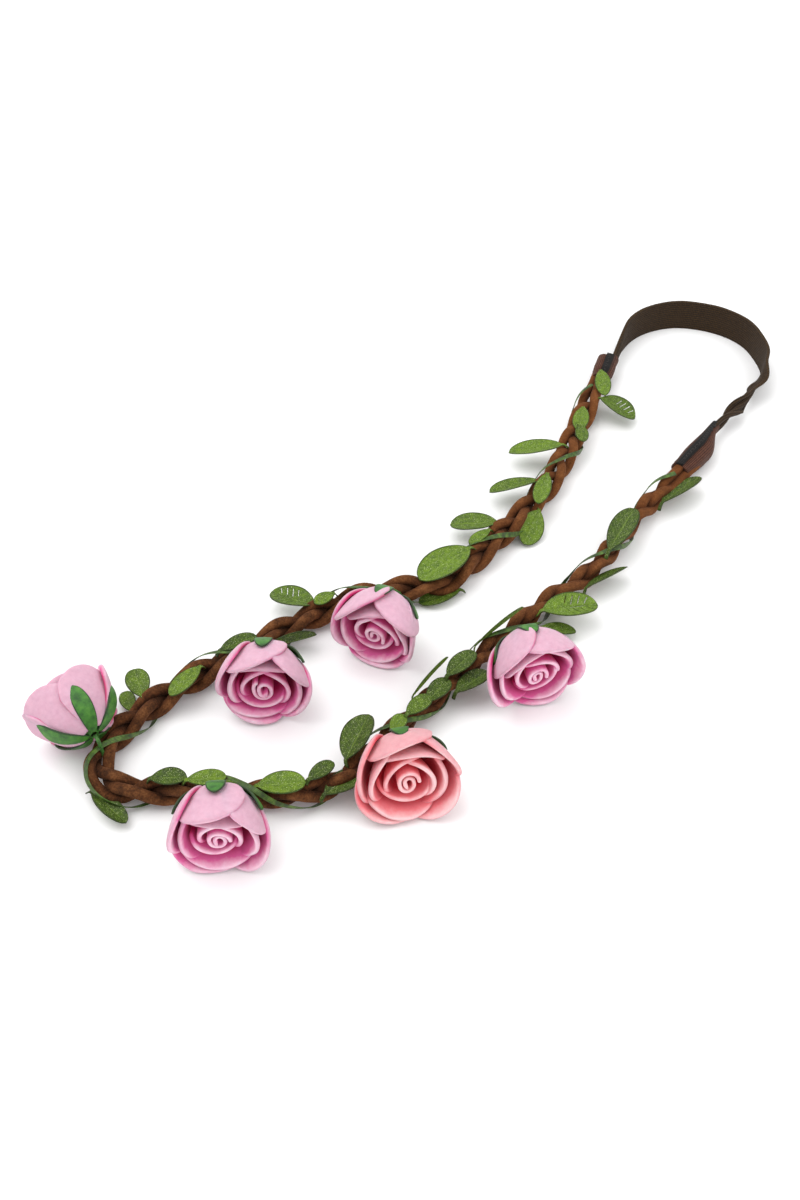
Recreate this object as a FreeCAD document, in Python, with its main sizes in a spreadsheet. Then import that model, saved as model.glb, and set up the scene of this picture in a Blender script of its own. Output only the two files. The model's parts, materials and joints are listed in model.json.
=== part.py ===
import FreeCAD, Part
import math, os

# Flower crown: a closed loop of three plaited suede strands with an elastic
# back. A ribbon vine with cloth leaves winds round the plait, and six foam
# roses stand out of it on short wires. Millimetres, +Z up, lying on z = 0.

V = FreeCAD.Vector
doc = FreeCAD.newDocument("FlowerCrown")

# ---------------------------------------------------------------- sizes
SIZES = [
    ("strand_radius", 1.25, "suede strand, half its thickness"),
    ("plait_half_width", 2.3, "sideways swing of a strand in the plait"),
    ("plait_half_height", 1.85, "up and down swing of a strand in the plait"),
    ("bundle_radius", 1.55, "strands gathered to a bundle at both ends"),
    ("plait_centre_height", 4.2, "middle of the plait above the ground"),
    ("vine_radius", 0.5, "ribbon stem of the vine, as a round section"),
    ("leaf_thickness", 0.5, "coated cloth leaf"),
    ("rim_radius", 12.0, "outer petals at the rim"),
    ("rose_height", 13.6, "from the wire's tip to the rim of the outer petals"),
    ("petal_thickness", 1.5, "foam sheet"),
    ("sepal_thickness", 0.6, "felt of the calyx"),
    ("petals_per_ring", 5, "petals in one ring"),
    ("wire_radius", 0.45, "stem wire of a rose"),
    ("elastic_width", 10.0, "elastic strip, standing on its edge"),
    ("elastic_neck", 4.6, "elastic gathered at the joins"),
    ("elastic_thickness", 1.0, "woven elastic"),
    ("wrap_thickness", 0.8, "folded end wrap"),
    ("wrap_inner_width", 6.4, "clear width inside the end wrap"),
    ("wrap_inner_height", 5.9, "clear height inside the end wrap"),
    ("left_wrap_length", 11.0, "end wrap on the far side"),
    ("right_wrap_length", 26.0, "end wrap on the near side"),
    ("wrap_edge_radius", 1.3, "rounded folds of the end wraps"),
    ("thread_thickness", 0.5, "sewing thread"),
]
sheet = doc.addObject("Spreadsheet::Sheet", "Sizes")
for row, (alias, value, note) in enumerate(SIZES, 1):
    sheet.set("A%d" % row, alias)
    sheet.set("B%d" % row, str(value))
    sheet.setAlias("B%d" % row, alias)
    sheet.set("C%d" % row, note)
doc.recompute()


class Size:
    """A length that carries its number and its formula on the sheet."""

    def __init__(self, number, formula):
        self.number, self.formula = number, formula

    def __mul__(self, k):
        return Size(self.number * k, "(%s) * %r" % (self.formula, k))

    def __add__(self, other):
        if not isinstance(other, Size):
            other = Size(other, "%r" % other)
        return Size(self.number + other.number, "%s + %s" % (self.formula, other.formula))

    def __sub__(self, other):
        return self + other * -1.0 if isinstance(other, Size) else self + -other


S = {alias: Size(float(value), "Sizes.%s" % alias) for alias, value, _ in SIZES}
ZERO = Size(0.0, "0.0")

# The middle of the loop's box, so that the part is centred on the origin.
CENTRE = V(-3.165, -4.06, 0.0)


def at(x, y, z=0.0):
    return V(x, y, z) - CENTRE


# ---------------------------------------------------------------- helpers
def origin_feature(body, role):
    return next(f for f in body.Origin.OriginFeatures if f.Role == role)


def new_body(label, placement=None):
    body = doc.addObject("PartDesign::Body", label)
    body.Label = label
    if placement is not None:
        body.Placement = placement
    return body


def new_sketch(body, name, role):
    sketch = body.newObject("Sketcher::SketchObject", name)
    sketch.AttachmentSupport = (origin_feature(body, role), [""])
    sketch.MapMode = "FlatFace"
    return sketch


def polygon(sketch, corners):
    """Closed outline; every corner is a pair of Size values from the origin."""
    points = [V(x.number, y.number, 0) for x, y in corners]
    count = len(points)
    for i in range(count):
        sketch.addGeometry(Part.LineSegment(points[i], points[(i + 1) % count]), False)
    for i in range(count):
        sketch.addConstraint(Sketcher.Constraint("Coincident", i, 2, (i + 1) % count, 1))
    for i, (x, y) in enumerate(corners):
        for axis, value in (("DistanceX", x), ("DistanceY", y)):
            index = sketch.addConstraint(
                Sketcher.Constraint(axis, -1, 1, i, 1, value.number))
            sketch.setExpression("Constraints[%d]" % index, value.formula)


def revolve(body, name, corners):
    sketch = new_sketch(body, name + "Profile", "XZ_Plane")
    polygon(sketch, corners)
    turned = body.newObject("PartDesign::Revolution", name)
    turned.Profile = sketch
    turned.ReferenceAxis = (sketch, ["V_Axis"])
    turned.Angle = 360.0
    body.Tip = turned
    doc.recompute()
    return turned


def notches(body, name, corners, depth):
    """One cut through the wall on one side, repeated round the axis."""
    sketch = new_sketch(body, name + "Outline", "YZ_Plane")
    polygon(sketch, corners)
    cut = body.newObject("PartDesign::Pocket", name)
    cut.Profile = sketch
    cut.Length = depth.number
    cut.setExpression("Length", depth.formula)
    body.Tip = cut
    doc.recompute()
    ring = body.newObject("PartDesign::PolarPattern", name + "Ring")
    ring.Originals = [cut]
    ring.Axis = (origin_feature(body, "Z_Axis"), [""])
    ring.Angle = 360.0
    ring.setExpression("Occurrences", "Sizes.petals_per_ring")
    ring.Occurrences = int(S["petals_per_ring"].number)
    body.Tip = ring
    doc.recompute()


def frame_along(start, direction, sideways=None):
    """Placement at start with Z along the direction and X kept upright."""
    z = V(direction)
    z.normalize()
    y = sideways or V(0, 0, 1).cross(z)
    return FreeCAD.Placement(start, FreeCAD.Rotation(V(), y, z, "ZYX"))


def rounded_path(points):
    """Straight runs joined by tangent arcs through a list of points."""
    edges, last = [], points[0]
    for a, b, c in zip(points, points[1:], points[2:]):
        before, after = b - a, c - b
        reach = 0.45 * min(before.Length, after.Length)
        before.normalize()
        after.normalize()
        half = before.getAngle(after) / 2.0
        if half < 1e-4:
            continue
        inward = after - before
        inward.normalize()
        radius = reach / math.tan(half)
        start, end = b - before * reach, b + after * reach
        middle = b + inward * (radius / math.cos(half) - radius)
        edges.append(Part.LineSegment(last, start).toShape())
        edges.append(Part.Arc(start, middle, end).toShape())
        last = end
    edges.append(Part.LineSegment(last, points[-1]).toShape())
    return Part.Wire(edges)


def tube(label, points, radius):
    """Round cord of one thickness along a rounded path."""
    path = rounded_path(points)
    first = path.Edges[0]
    circle = Part.makeCircle(radius, first.Vertexes[0].Point,
                             first.tangentAt(first.FirstParameter))
    shape = path.makePipeShell([Part.Wire(circle)], True, False)
    expected = math.pi * radius * radius * path.Length
    assert abs(shape.Volume - expected) < 0.01 * expected, label
    piece = doc.addObject("Part::Feature", label)
    piece.Label = label
    piece.Shape = shape
    return piece


import Sketcher

# ---------------------------------------------------------------- the band
# Control points of the band's middle line, from the far join round the bend
# at the front to the near join. The line is a clamped quadratic spline.
BAND = [(84.0, 23.8), (77.0, 20.9), (62.8, 15.7), (44.5, 9.0), (26.0, 2.6), (10.5, 0.3),
        (-3.5, -0.2), (-18.0, -1.3), (-30.0, -0.6), (-37.8, 6.3), (-45.8, 12.3),
        (-55.5, 16.2), (-65.5, 19.3), (-78.0, 21.4), (-90.3, 24.7), (-102.5, 26.6),
        (-113.6, 27.3), (-123.2, 26.5), (-130.3, 23.4), (-132.6, 18.4), (-131.6, 13.3),
        (-125.0, 6.0), (-118.4, -2.4), (-111.9, -10.5), (-104.7, -20.0), (-94.0, -24.6),
        (-79.8, -23.9), (-64.9, -24.1), (-51.4, -24.5), (-36.0, -25.3), (-16.6, -25.6),
        (0.2, -29.2), (24.0, -25.4), (39.4, -24.8), (52.0, -24.5), (64.5, -24.2)]

band = Part.BSplineCurve()
band.buildFromPolesMultsKnots(
    [at(x, y) for x, y in BAND], [3] + [1] * (len(BAND) - 3) + [3],
    [float(k) for k in range(len(BAND) - 1)], False, 2)
BAND_LENGTH = band.length()
PLAIT_PERIODS = 11          # full turns of the three-strand pattern
PHASE_AT_JOIN = 30.0        # degrees, where the three strands form a triangle
END_RUN = 20.0              # straight bundled run at each end
GATHER = 8.0                # length over which the plait tightens to the bundle


def band_frame(s):
    """Point on the middle line at distance s, with its sideways direction."""
    s = min(max(s, 0.0), BAND_LENGTH)
    u = band.parameterAtDistance(s, band.FirstParameter)
    t = band.tangent(u)[0]
    return band.value(u), V(-t.y, t.x, 0.0), t


def smooth(x):
    x = min(max(x, 0.0), 1.0)
    return x * x * (3.0 - 2.0 * x)


def plait_point(k, s):
    """Centre of strand k at distance s along the band."""
    run = BAND_LENGTH - 2.0 * END_RUN
    turn = min(max((s - END_RUN) / run, 0.0), 1.0) * PLAIT_PERIODS * 360.0
    loose = smooth((min(s, BAND_LENGTH - s) - END_RUN + GATHER) / GATHER)
    angle = math.radians(PHASE_AT_JOIN + turn + 120.0 * k)
    tight = S["bundle_radius"].number
    wide = tight + (S["plait_half_width"].number - tight) * loose
    high = tight + (S["plait_half_height"].number - tight) * loose
    point, side, _ = band_frame(s)
    return (point + side * (wide * math.sin(angle))
            + V(0, 0, S["plait_centre_height"].number + high * math.sin(2.0 * angle)))


def strand_stations():
    steps = PLAIT_PERIODS * 16
    run = (BAND_LENGTH - 2.0 * END_RUN) / steps
    lead = [END_RUN * f for f in (0.0, 0.3, 0.47, 0.64, 0.82)]
    core = [END_RUN + run * i for i in range(steps + 1)]
    return lead + core + [BAND_LENGTH - s for s in reversed(lead)]


for k in range(3):
    tube("strand_%d" % (k + 1), [plait_point(k, s) for s in strand_stations()],
         S["strand_radius"].number)

# ---------------------------------------------------------------- the vine
VINE_TURNS = 10
VINE_START_ANGLE = 100.0
VINE_ENDS = 16.0


def vine_point(s):
    """The vine winds round the plait, just clear of the strands."""
    share = (s - VINE_ENDS) / (BAND_LENGTH - 2.0 * VINE_ENDS)
    angle = math.radians(VINE_START_ANGLE + 360.0 * VINE_TURNS * share)
    c, n = math.cos(angle), math.sin(angle)
    clear = S["strand_radius"].number + S["vine_radius"].number + 0.12
    wide = S["plait_half_width"].number + clear
    high = S["plait_half_height"].number + clear
    bulge = (abs(c) ** 2.6 + abs(n) ** 2.6) ** (-1.0 / 2.6)
    point, side, _ = band_frame(s)
    return (point + side * (wide * bulge * c)
            + V(0, 0, S["plait_centre_height"].number + 0.1 + high * bulge * n))


vine_steps = VINE_TURNS * 10
tube("vine_stem",
     [vine_point(VINE_ENDS + (BAND_LENGTH - 2.0 * VINE_ENDS) * i / vine_steps)
      for i in range(vine_steps + 1)], S["vine_radius"].number)

# ---------------------------------------------------------------- leaves
# Each leaf: base, tip, width, and the tilt of its width from level in degrees.
SPRIGS = [
    [((77, 21, 7.7), (67, 12.5, 7.8), 5, 10), ((65.6, 13.1, 6.7), (69, 1.5, 3.2), 10, -8)],
    [((57, 13.9, 7.7), (47, 8.5, 7.8), 5, 5), ((48, 9.1, 8.5), (43, 3.9, 7.7), 4, 0),
     ((38.3, 8.4, 6.9), (26, 19.5, 6.1), 8, 8)],
    [((21.1, 4.3, 6.1), (8, 12.8, 5.8), 7.5, 20), ((23, 3, 8.2), (11, -2.5, 7.7), 5, 0)],
    [((10.9, -3.2, 5.4), (0, -6.4, 1.9), 7.5, -30), ((-1.9, 2.2, 6.4), (-10, 13, 5.4), 8, 5),
     ((-7, 1, 7.8), (-15, 2, 7.4), 3.4, 0)],
    [((-17, 0.4, 8.2), (-35, 3.2, 8.5), 10, 0), ((-26.8, -4.4, 2.4), (-37, 1.6, 1.3), 6, 0)],
    [((-59.3, 19.3, 5.9), (-63, 32, 5.6), 9, 12), ((-54, 17, 7.8), (-60, 18.6, 7.5), 4, 0)],
    [((-88, 25, 7.7), (-78, 22, 7.8), 4.5, 0), ((-77.8, 18.6, 5.3), (-66, 12.4, 5.3), 6, -70)],
    [((-106.1, 23.9, 7.7), (-95.1, 24.7, 7.8), 5, 0), ((-110.2, 29.5, 5.9), (-105.8, 38.2, 6.1), 6, 0),
     ((-113.4, 31.1, 1.9), (-110, 37.9, 1.4), 4, 0)],
    [((-136, 18.1, 3.7), (-135.8, 6.2, 2.6), 5, -15), ((-120, 2.1, 7.8), (-126, 8, 7.8), 5, 0)],
    [((-121, 1, 8.3), (-114, -5, 8.2), 4.5, 0), ((-119.9, -2.9, 7.4), (-113, -11, 7.5), 5, 0),
     ((-111, -12, 7.5), (-103, -20, 7.8), 6.5, 0)],
    [((-103, -21, 7.8), (-95.5, -22, 8.3), 4, 0), ((-102.5, -25.7, 5.9), (-91.4, -28, 5.4), 7, -12),
     ((-93, -23.6, 7.8), (-82, -20.6, 12.3), 10, -32)],
    [((-79, -25.5, 7.7), (-73, -24, 7.9), 4, 0), ((-73, -25, 8.5), (-64.5, -25.4, 8.5), 4.5, 0),
     ((-67, -21.8, 7.5), (-53.5, -21, 10.7), 4, -70)],
    [((-66, -25.8, 7.7), (-57, -25, 7.9), 5, 0), ((-57, -24.6, 8.6), (-46, -24.4, 8.5), 5.5, -5),
     ((-58, -28.4, 6.1), (-47.4, -30.2, 6.6), 6, -12)],
    [((-43.9, -23.2, 7.7), (-27, -24.6, 10.7), 4, -70), ((-21.9, -28.4, 6.9), (-9.6, -37.4, 6.6), 9.5, -5),
     ((-24.5, -30.2, 3.7), (-18.6, -37.4, 2.6), 5, -10)],
    [((-5.7, -31.5, 5.3), (9, -34.6, 4.5), 6, -40), ((8, -29.1, 8), (28, -24.3, 7.8), 7, 0),
     ((37, -28.3, 5.6), (55, -29.7, 5.8), 6.5, -25)],
]


def leaf(name, base, tip, width, tilt):
    """Flat pointed oval with its base at the origin and its tip on local X."""
    start, end = at(*base), at(*tip)
    along = end - start
    length = along.Length
    level = V(0, 0, 1).cross(along)
    spin = FreeCAD.Rotation(along, tilt)
    across = spin.multVec(level)
    body = new_body(name, FreeCAD.Placement(
        start, FreeCAD.Rotation(along, across, V(), "XYZ")))
    sketch = new_sketch(body, name + "Outline", "XY_Plane")
    a, b = V(0, 0, 0), V(length, 0, 0)
    sketch.addGeometry(Part.Arc(a, V(0.5 * length, 0.5 * width, 0), b), False)
    sketch.addGeometry(Part.Arc(a, V(0.5 * length, -0.5 * width, 0), b), False)
    # The upper arc is stored anticlockwise, so it ends where the lower starts.
    sketch.addConstraint(Sketcher.Constraint("Coincident", 0, 2, -1, 1))
    sketch.addConstraint(Sketcher.Constraint("Coincident", 1, 1, -1, 1))
    sketch.addConstraint(Sketcher.Constraint("Coincident", 0, 1, 1, 2))
    sketch.addConstraint(Sketcher.Constraint("PointOnObject", 1, 2, -1))
    sketch.addConstraint(Sketcher.Constraint("DistanceX", 1, 1, 1, 2, length))
    radius = (0.25 * length * length + 0.25 * width * width) / width
    sketch.addConstraint(Sketcher.Constraint("Radius", 0, radius))
    sketch.addConstraint(Sketcher.Constraint("Radius", 1, radius))
    pad = body.newObject("PartDesign::Pad", name + "Cloth")
    pad.Profile = sketch
    pad.setExpression("Length", "Sizes.leaf_thickness")
    pad.Length = S["leaf_thickness"].number
    pad.Midplane = True
    body.Tip = pad
    return body


sprig_nodes = []
for number, group in enumerate(SPRIGS, 1):
    leaves = [leaf("Leaf%02d%s" % (number, "abcd"[i]), *entry)
              for i, entry in enumerate(group)]
    sprig = doc.addObject("Part::Compound", "leaf_sprig_%02d" % number)
    sprig.Label = "leaf_sprig_%02d" % number
    sprig.Links = leaves
    sprig_nodes.append(sprig)

# ---------------------------------------------------------------- roses
# Each rose: letter, ground point under the face, heading, pitch up from level,
# how far behind its neck the wire is rooted, and the turn about its own axis.
# The wire rises out of the plait; the rim of the petals is just above z = 0.
ROSES = [
    ("a", (-125.0, 40.9), 81.0, 8.0, 2.5, 0.0),
    ("b", (-94.0, 2.9), -138.0, 2.0, 9.5, 20.0),
    ("c", (-63.2, -4.4), -156.0, -4.0, 10.0, 50.0),
    ("d", (-130.4, -20.2), -135.0, 0.0, 5.0, 10.0),
    ("e", (-91.0, -41.6), -128.0, 12.0, 6.0, 35.0),
    ("f", (-46.0, -45.2), -122.0, -2.0, 7.5, 60.0),
]
FACE_REACH = 15.5           # wire's tip to the face, along the rose


def bowl_corners(radius, floor, rim, thickness, foot=0.14):
    """Half section of a petal ring: a rounded bowl of one wall thickness."""
    depth = rim - floor
    wall = [(foot, 0.0, 0.30, 0.95), (max(0.34, foot + 0.14), 0.09, 0.45, 0.89), (0.60, 0.24, 0.68, 0.73),
            (0.82, 0.48, 0.88, 0.47), (0.94, 0.74, 0.97, 0.24), (1.0, 1.0, 1.0, 0.0)]
    outside = [(radius * r, floor + depth * z) for r, z, _, _ in wall]
    inside = [(radius * r - thickness * nr, floor + depth * z + thickness * nz)
              for r, z, nr, nz in reversed(wall)]
    return ([(ZERO, floor)] + outside + inside + [(ZERO, floor + thickness)])


rose_joints = []
for letter, (fx, fy), heading, lift, root, roll in ROSES:
    pitch, yaw = math.radians(lift), math.radians(heading)
    axis = V(math.cos(pitch) * math.cos(yaw), math.cos(pitch) * math.sin(yaw), math.sin(pitch))
    neck_height = (S["rim_radius"].number * math.cos(pitch)
                   - S["rose_height"].number * math.sin(pitch) + 0.25)
    neck = at(fx, fy, 0) - V(axis.x, axis.y, 0) * FACE_REACH + V(0, 0, neck_height)
    upright = frame_along(neck, axis)
    rose_joints.append((letter, neck, V(math.sin(yaw), -math.cos(yaw), 0)))

    def ring_placement(turn):
        return upright.multiply(FreeCAD.Placement(V(), FreeCAD.Rotation(V(0, 0, 1), roll + turn)))

    t = S["petal_thickness"]
    rim, height = S["rim_radius"], S["rose_height"]

    outer = new_body("rose_%s_outer_petals" % letter, ring_placement(0))
    revolve(outer, "Bowl", bowl_corners(rim, ZERO + 2.4, height, t))
    notches(outer, "Notch", [(ZERO - 2.6, height + 1.0), (ZERO - 0.7, height * 0.55),
                             (ZERO + 0.7, height * 0.55), (ZERO + 2.6, height + 1.0)],
            rim + 2.0)

    middle = new_body("rose_%s_middle_petals" % letter, ring_placement(36))
    revolve(middle, "Bowl", bowl_corners(rim * 0.74, ZERO + 4.2, height + 0.9, t, 0.2))
    notches(middle, "Notch", [(ZERO - 1.8, height + 2.0), (ZERO - 0.5, height * 0.68),
                              (ZERO + 0.5, height * 0.68), (ZERO + 1.8, height + 2.0)],
            rim + 2.0)

    inner = new_body("rose_%s_inner_petals" % letter, ring_placement(12))
    revolve(inner, "Bowl", bowl_corners(rim * 0.5, ZERO + 6.0, height + 1.4, t * 0.9, 0.3))
    notches(inner, "Notch", [(ZERO - 1.2, height + 3.0), (ZERO - 0.4, height * 0.8),
                             (ZERO + 0.4, height * 0.8), (ZERO + 1.2, height + 3.0)],
            rim + 2.0)

    bud = new_body("rose_%s_bud" % letter, ring_placement(0))
    revolve(bud, "Roll", [(ZERO, ZERO + 7.5), (rim * 0.10, ZERO + 7.5),
                          (rim * 0.19, height * 0.68), (rim * 0.25, height * 0.85),
                          (rim * 0.26, height + 0.4), (rim * 0.16, height + 1.9),
                          (ZERO, height + 2.1)])
    groove = new_sketch(bud, "RollGap", "XZ_Plane")
    polygon(groove, [(rim * 0.15, height - 1.0), (rim * 0.19, height - 1.0),
                     (rim * 0.19, height + 3.0), (rim * 0.15, height + 3.0)])
    gap = bud.newObject("PartDesign::Groove", "RollGroove")
    gap.Profile = groove
    gap.ReferenceAxis = (groove, ["V_Axis"])
    gap.Angle = 360.0
    bud.Tip = gap

    # The calyx hugs the outer petals from below; five cuts leave five sepals.
    felt = S["sepal_thickness"]
    calyx = new_body("rose_%s_calyx" % letter, ring_placement(36 - roll))
    shell_out = bowl_corners(rim + felt * 1.35, ZERO + 1.6, height + 0.9, felt, 0.16)
    near = [(x, z) for x, z in shell_out[1:6]]
    skin = bowl_corners(rim + felt * 0.25, ZERO + 2.3, height + 0.2, felt, 0.16)[1:6]
    revolve(calyx, "Cup", [(ZERO, ZERO + 0.3), (rim * 0.09, ZERO + 0.3)] + near[1:]
            + list(reversed(skin)) + [(ZERO, ZERO + 2.3)])
    notches(calyx, "SepalGap", [(ZERO - 6.9, height), (ZERO - 6.9, height * 0.80),
                                (ZERO - 0.3, ZERO + 2.9), (ZERO + 0.3, ZERO + 2.9),
                                (ZERO + 6.9, height * 0.80), (ZERO + 6.9, height)], rim + 3.0)

    level = V(math.cos(yaw), math.sin(yaw), 0)
    foot = neck - level * root
    foot.z = S["plait_centre_height"].number
    bend = neck - axis * (1.1 + 0.12 * root)
    tube("rose_%s_stem" % letter, [foot, bend, neck - axis * 0.05], S["wire_radius"].number)
    doc.recompute()

# ---------------------------------------------------------------- elastic
# Plan of the elastic from the near join round the back to the far join.
ELASTIC = [(54.5, -21.8), (64.5, -21.55), (80.5, -21.15), (100.0, -20.8), (112.0, -19.2), (119.8, -16.6),
           (125.2, -11.2), (130.8, -3.0), (131.9, 6.4), (129.4, 15.2), (124.9, 22.6),
           (116.7, 27.7), (107.0, 29.4), (97.0, 26.4), (84.9, 21.6), (76.2, 18.0)]


def ribbon_outline(sketch, points, thickness):
    """Closed plan of a thin strip: both sides are runs and tangent arcs."""
    def side(offset):
        shifted = []
        for i, p in enumerate(points):
            before = p - points[max(i - 1, 0)]
            after = points[min(i + 1, len(points) - 1)] - p
            t = V(before + after)
            t.normalize()
            shifted.append(p + V(-t.y, t.x, 0) * offset)
        return shifted

    left, right = side(0.5 * thickness), side(-0.5 * thickness)
    wires = [rounded_path(left), rounded_path(list(reversed(right)))]
    ends = [wires[0].Edges[0].Vertexes[0].Point]
    geometry = []
    for wire, start in zip(wires, (left[0], right[-1])):
        last = start
        for edge in wire.Edges:
            a, b = edge.Vertexes[0].Point, edge.Vertexes[-1].Point
            if (a - last).Length > (b - last).Length:
                a, b = b, a
            if edge.Curve.TypeId == "Part::GeomLine":
                geometry.append(Part.LineSegment(a, b))
            else:
                middle = edge.valueAt(0.5 * (edge.FirstParameter + edge.LastParameter))
                geometry.append(Part.Arc(a, middle, b))
            last = b
        closing = right[-1] if wire is wires[0] else left[0]
        geometry.append(Part.LineSegment(last, closing))
    for item in geometry:
        index = sketch.addGeometry(item, False)
        sketch.addConstraint(Sketcher.Constraint("Block", index))


elastic = new_body("elastic_band")
plan = new_sketch(elastic, "StripPlan", "XY_Plane")
ribbon_outline(plan, [at(x, y) for x, y in ELASTIC], S["elastic_thickness"].number)
strip = elastic.newObject("PartDesign::Pad", "Strip")
strip.Profile = plan
strip.setExpression("Length", "Sizes.elastic_width")
strip.Length = S["elastic_width"].number
elastic.Tip = strip
doc.recompute()

width, gathered, middle_height = S["elastic_width"], S["elastic_neck"], S["plait_centre_height"]
TAPERS = (("NearTop", 99.0, 114.0, True, True), ("NearFoot", 99.0, 114.0, False, True),
          ("FarTop", 88.5, 107.0, True, False), ("FarFoot", 88.5, 107.0, False, False))
for name, x0, x1, top, near_side in TAPERS:
    taper = new_sketch(elastic, name + "Outline", "XZ_Plane")
    start, end = ZERO + (x0 - CENTRE.x), ZERO + (x1 - CENTRE.x)
    back = ZERO + (40.0 - CENTRE.x)
    if top:
        corners = [(back, width + 2.0), (back, middle_height + gathered * 0.5),
                   (start, middle_height + gathered * 0.5), (end, width), (end, width + 2.0)]
    else:
        corners = [(back, ZERO - 2.0), (end, ZERO - 2.0), (end, ZERO),
                   (start, middle_height - gathered * 0.5), (back, middle_height - gathered * 0.5)]
    polygon(taper, corners)
    volume = elastic.Shape.Volume
    cut = elastic.newObject("PartDesign::Pocket", name)
    cut.Profile = taper
    cut.Length = 60.0
    cut.Reversed = near_side
    elastic.Tip = cut
    doc.recompute()
    assert elastic.Shape.Volume < volume - 1.0, name

# ---------------------------------------------------------------- end wraps
# A folded strip holds the bundled strand ends and the elastic's end together.
# Past the strands' ends it narrows onto the elastic alone.


def wrap_plan(length, strand_end, margin):
    """Plan of the sleeve: square at the plait, slanted in towards the elastic."""
    wide = S["wrap_inner_width"] * 0.5 + margin
    low = wide * -1.0
    corners = [(ZERO, low)]
    if strand_end is not None:
        corners += [(ZERO + strand_end, low), (length, ZERO + 1.8 - margin)]
    else:
        corners += [(length, low)]
    return corners + [(length, wide), (ZERO, wide)]


for name, s_end, sign, overhang in (("left", 0.0, -1.0, 3.0), ("right", BAND_LENGTH, 1.0, 15.0)):
    point, side, tangent = band_frame(s_end)
    outward = tangent * sign
    length = S["%s_wrap_length" % name]
    # The elastic lies on the loop's inner side of the bundle: local +Y.
    start = point + outward * (overhang - length.number) + side * 0.1
    start += V(0, 0, S["plait_centre_height"].number)
    wrap = new_body("end_wrap_%s" % name, FreeCAD.Placement(
        start, FreeCAD.Rotation(outward, side, V(), "XYZ")))
    half_h, skin = S["wrap_inner_height"] * 0.5, S["wrap_thickness"]
    strand_end = None if name == "left" else length.number - overhang + 1.5
    outline = new_sketch(wrap, "FoldOutline", "XY_Plane")
    polygon(outline, wrap_plan(length, strand_end, skin))
    block = wrap.newObject("PartDesign::Pad", "Fold")
    block.Profile = outline
    block.Midplane = True
    block.setExpression("Length", "Sizes.wrap_inner_height + 2.0 * Sizes.wrap_thickness")
    block.Length = 2.0 * (half_h + skin).number
    wrap.Tip = block
    doc.recompute()
    level = (half_h + skin).number
    folds = ["Edge%d" % (i + 1) for i, e in enumerate(block.Shape.Edges)
             if e.Length > 4.0 and abs(abs(e.CenterOfMass.z) - level) < 1e-6
             and abs(e.Vertexes[0].Point.x - e.Vertexes[-1].Point.x) > 2.0]
    fold = wrap.newObject("PartDesign::Fillet", "FoldRounding")
    fold.Base = (block, folds)
    fold.Radius = S["wrap_edge_radius"].number
    fold.setExpression("Radius", "Sizes.wrap_edge_radius")
    wrap.Tip = fold
    doc.recompute()
    hollow = new_sketch(wrap, "HollowOutline", "XY_Plane")
    inner = wrap_plan(length + 1.0, None if strand_end is None else strand_end, ZERO)
    inner = [(ZERO - 1.0, y) if x.number == 0.0 else (x, y) for x, y in inner]
    polygon(hollow, inner)
    volume = wrap.Shape.Volume
    tunnel = wrap.newObject("PartDesign::Pocket", "Hollow")
    tunnel.Profile = hollow
    tunnel.Midplane = True
    tunnel.setExpression("Length", "Sizes.wrap_inner_height")
    tunnel.Length = S["wrap_inner_height"].number
    wrap.Tip = tunnel
    doc.recompute()
    assert wrap.Shape.Volume < 0.75 * volume, name
    # ------------------------------------------------------------ stitches
    count = 3 if name == "left" else 7
    thread = S["thread_thickness"]
    loops = []
    for i in range(count):
        outer_box = doc.addObject("Part::Box", "Stitch%s%dOut" % (name, i))
        inner_box = doc.addObject("Part::Box", "Stitch%s%dIn" % (name, i))
        outer_box.Length, outer_box.Width, outer_box.Height = thread.number, 2.6, 1.3
        inner_box.Length, inner_box.Width, inner_box.Height = thread.number + 1, 1.6, 0.8
        outer_box.setExpression("Length", thread.formula)
        x = (i + 0.7) * length.number / (count + 0.4)
        drift = 0.0 if name == "left" else 1.9 * max(0.0, x - strand_end) / (length.number - strand_end)
        # The left wrap's own Z points down, so its stitches are on its low side.
        lift = half_h.number + skin.number - 0.7
        base = wrap.Placement.multVec(V(x, -0.8 + drift, lift if name == "right" else -lift - 1.3))
        hole = wrap.Placement.multVec(V(x - 0.5, -0.3 + drift,
                                        lift if name == "right" else -lift - 0.8))
        outer_box.Placement = FreeCAD.Placement(base, wrap.Placement.Rotation)
        inner_box.Placement = FreeCAD.Placement(hole, wrap.Placement.Rotation)
        loop = doc.addObject("Part::Cut", "Stitch%s%d" % (name, i))
        loop.Base, loop.Tool = outer_box, inner_box
        loops.append(loop)
    row_of = doc.addObject("Part::Compound", "stitching_%s" % name)
    row_of.Label = "stitching_%s" % name
    row_of.Links = loops

doc.recompute()

# ---------------------------------------------------------------- checks
for item in doc.Objects:
    assert not {"Invalid", "Error"} & set(item.State), (item.Name, item.State)

NODES = (["strand_1", "strand_2", "strand_3", "vine_stem"]
         + [sprig.Label for sprig in sprig_nodes]
         + ["rose_%s_%s" % (letter, piece) for letter in "abcdef"
            for piece in ("bud", "inner_petals", "middle_petals", "outer_petals", "calyx", "stem")]
         + ["elastic_band", "end_wrap_left", "end_wrap_right", "stitching_left", "stitching_right"])

os.makedirs("parts", exist_ok=True)
whole = FreeCAD.BoundBox()
for label in NODES:
    shape = doc.getObjectsByLabel(label)[0].Shape
    assert not shape.isNull() and shape.isValid(), label
    assert shape.Volume > 0, label
    whole.add(shape.BoundBox)
    shape.exportStep("parts/%s.step" % label)
print("nodes", len(NODES), "box", whole)
for letter, neck, hinge in rose_joints:
    print(letter, [round(c / 1000.0, 5) for c in neck], [round(c, 5) for c in hinge])
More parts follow.
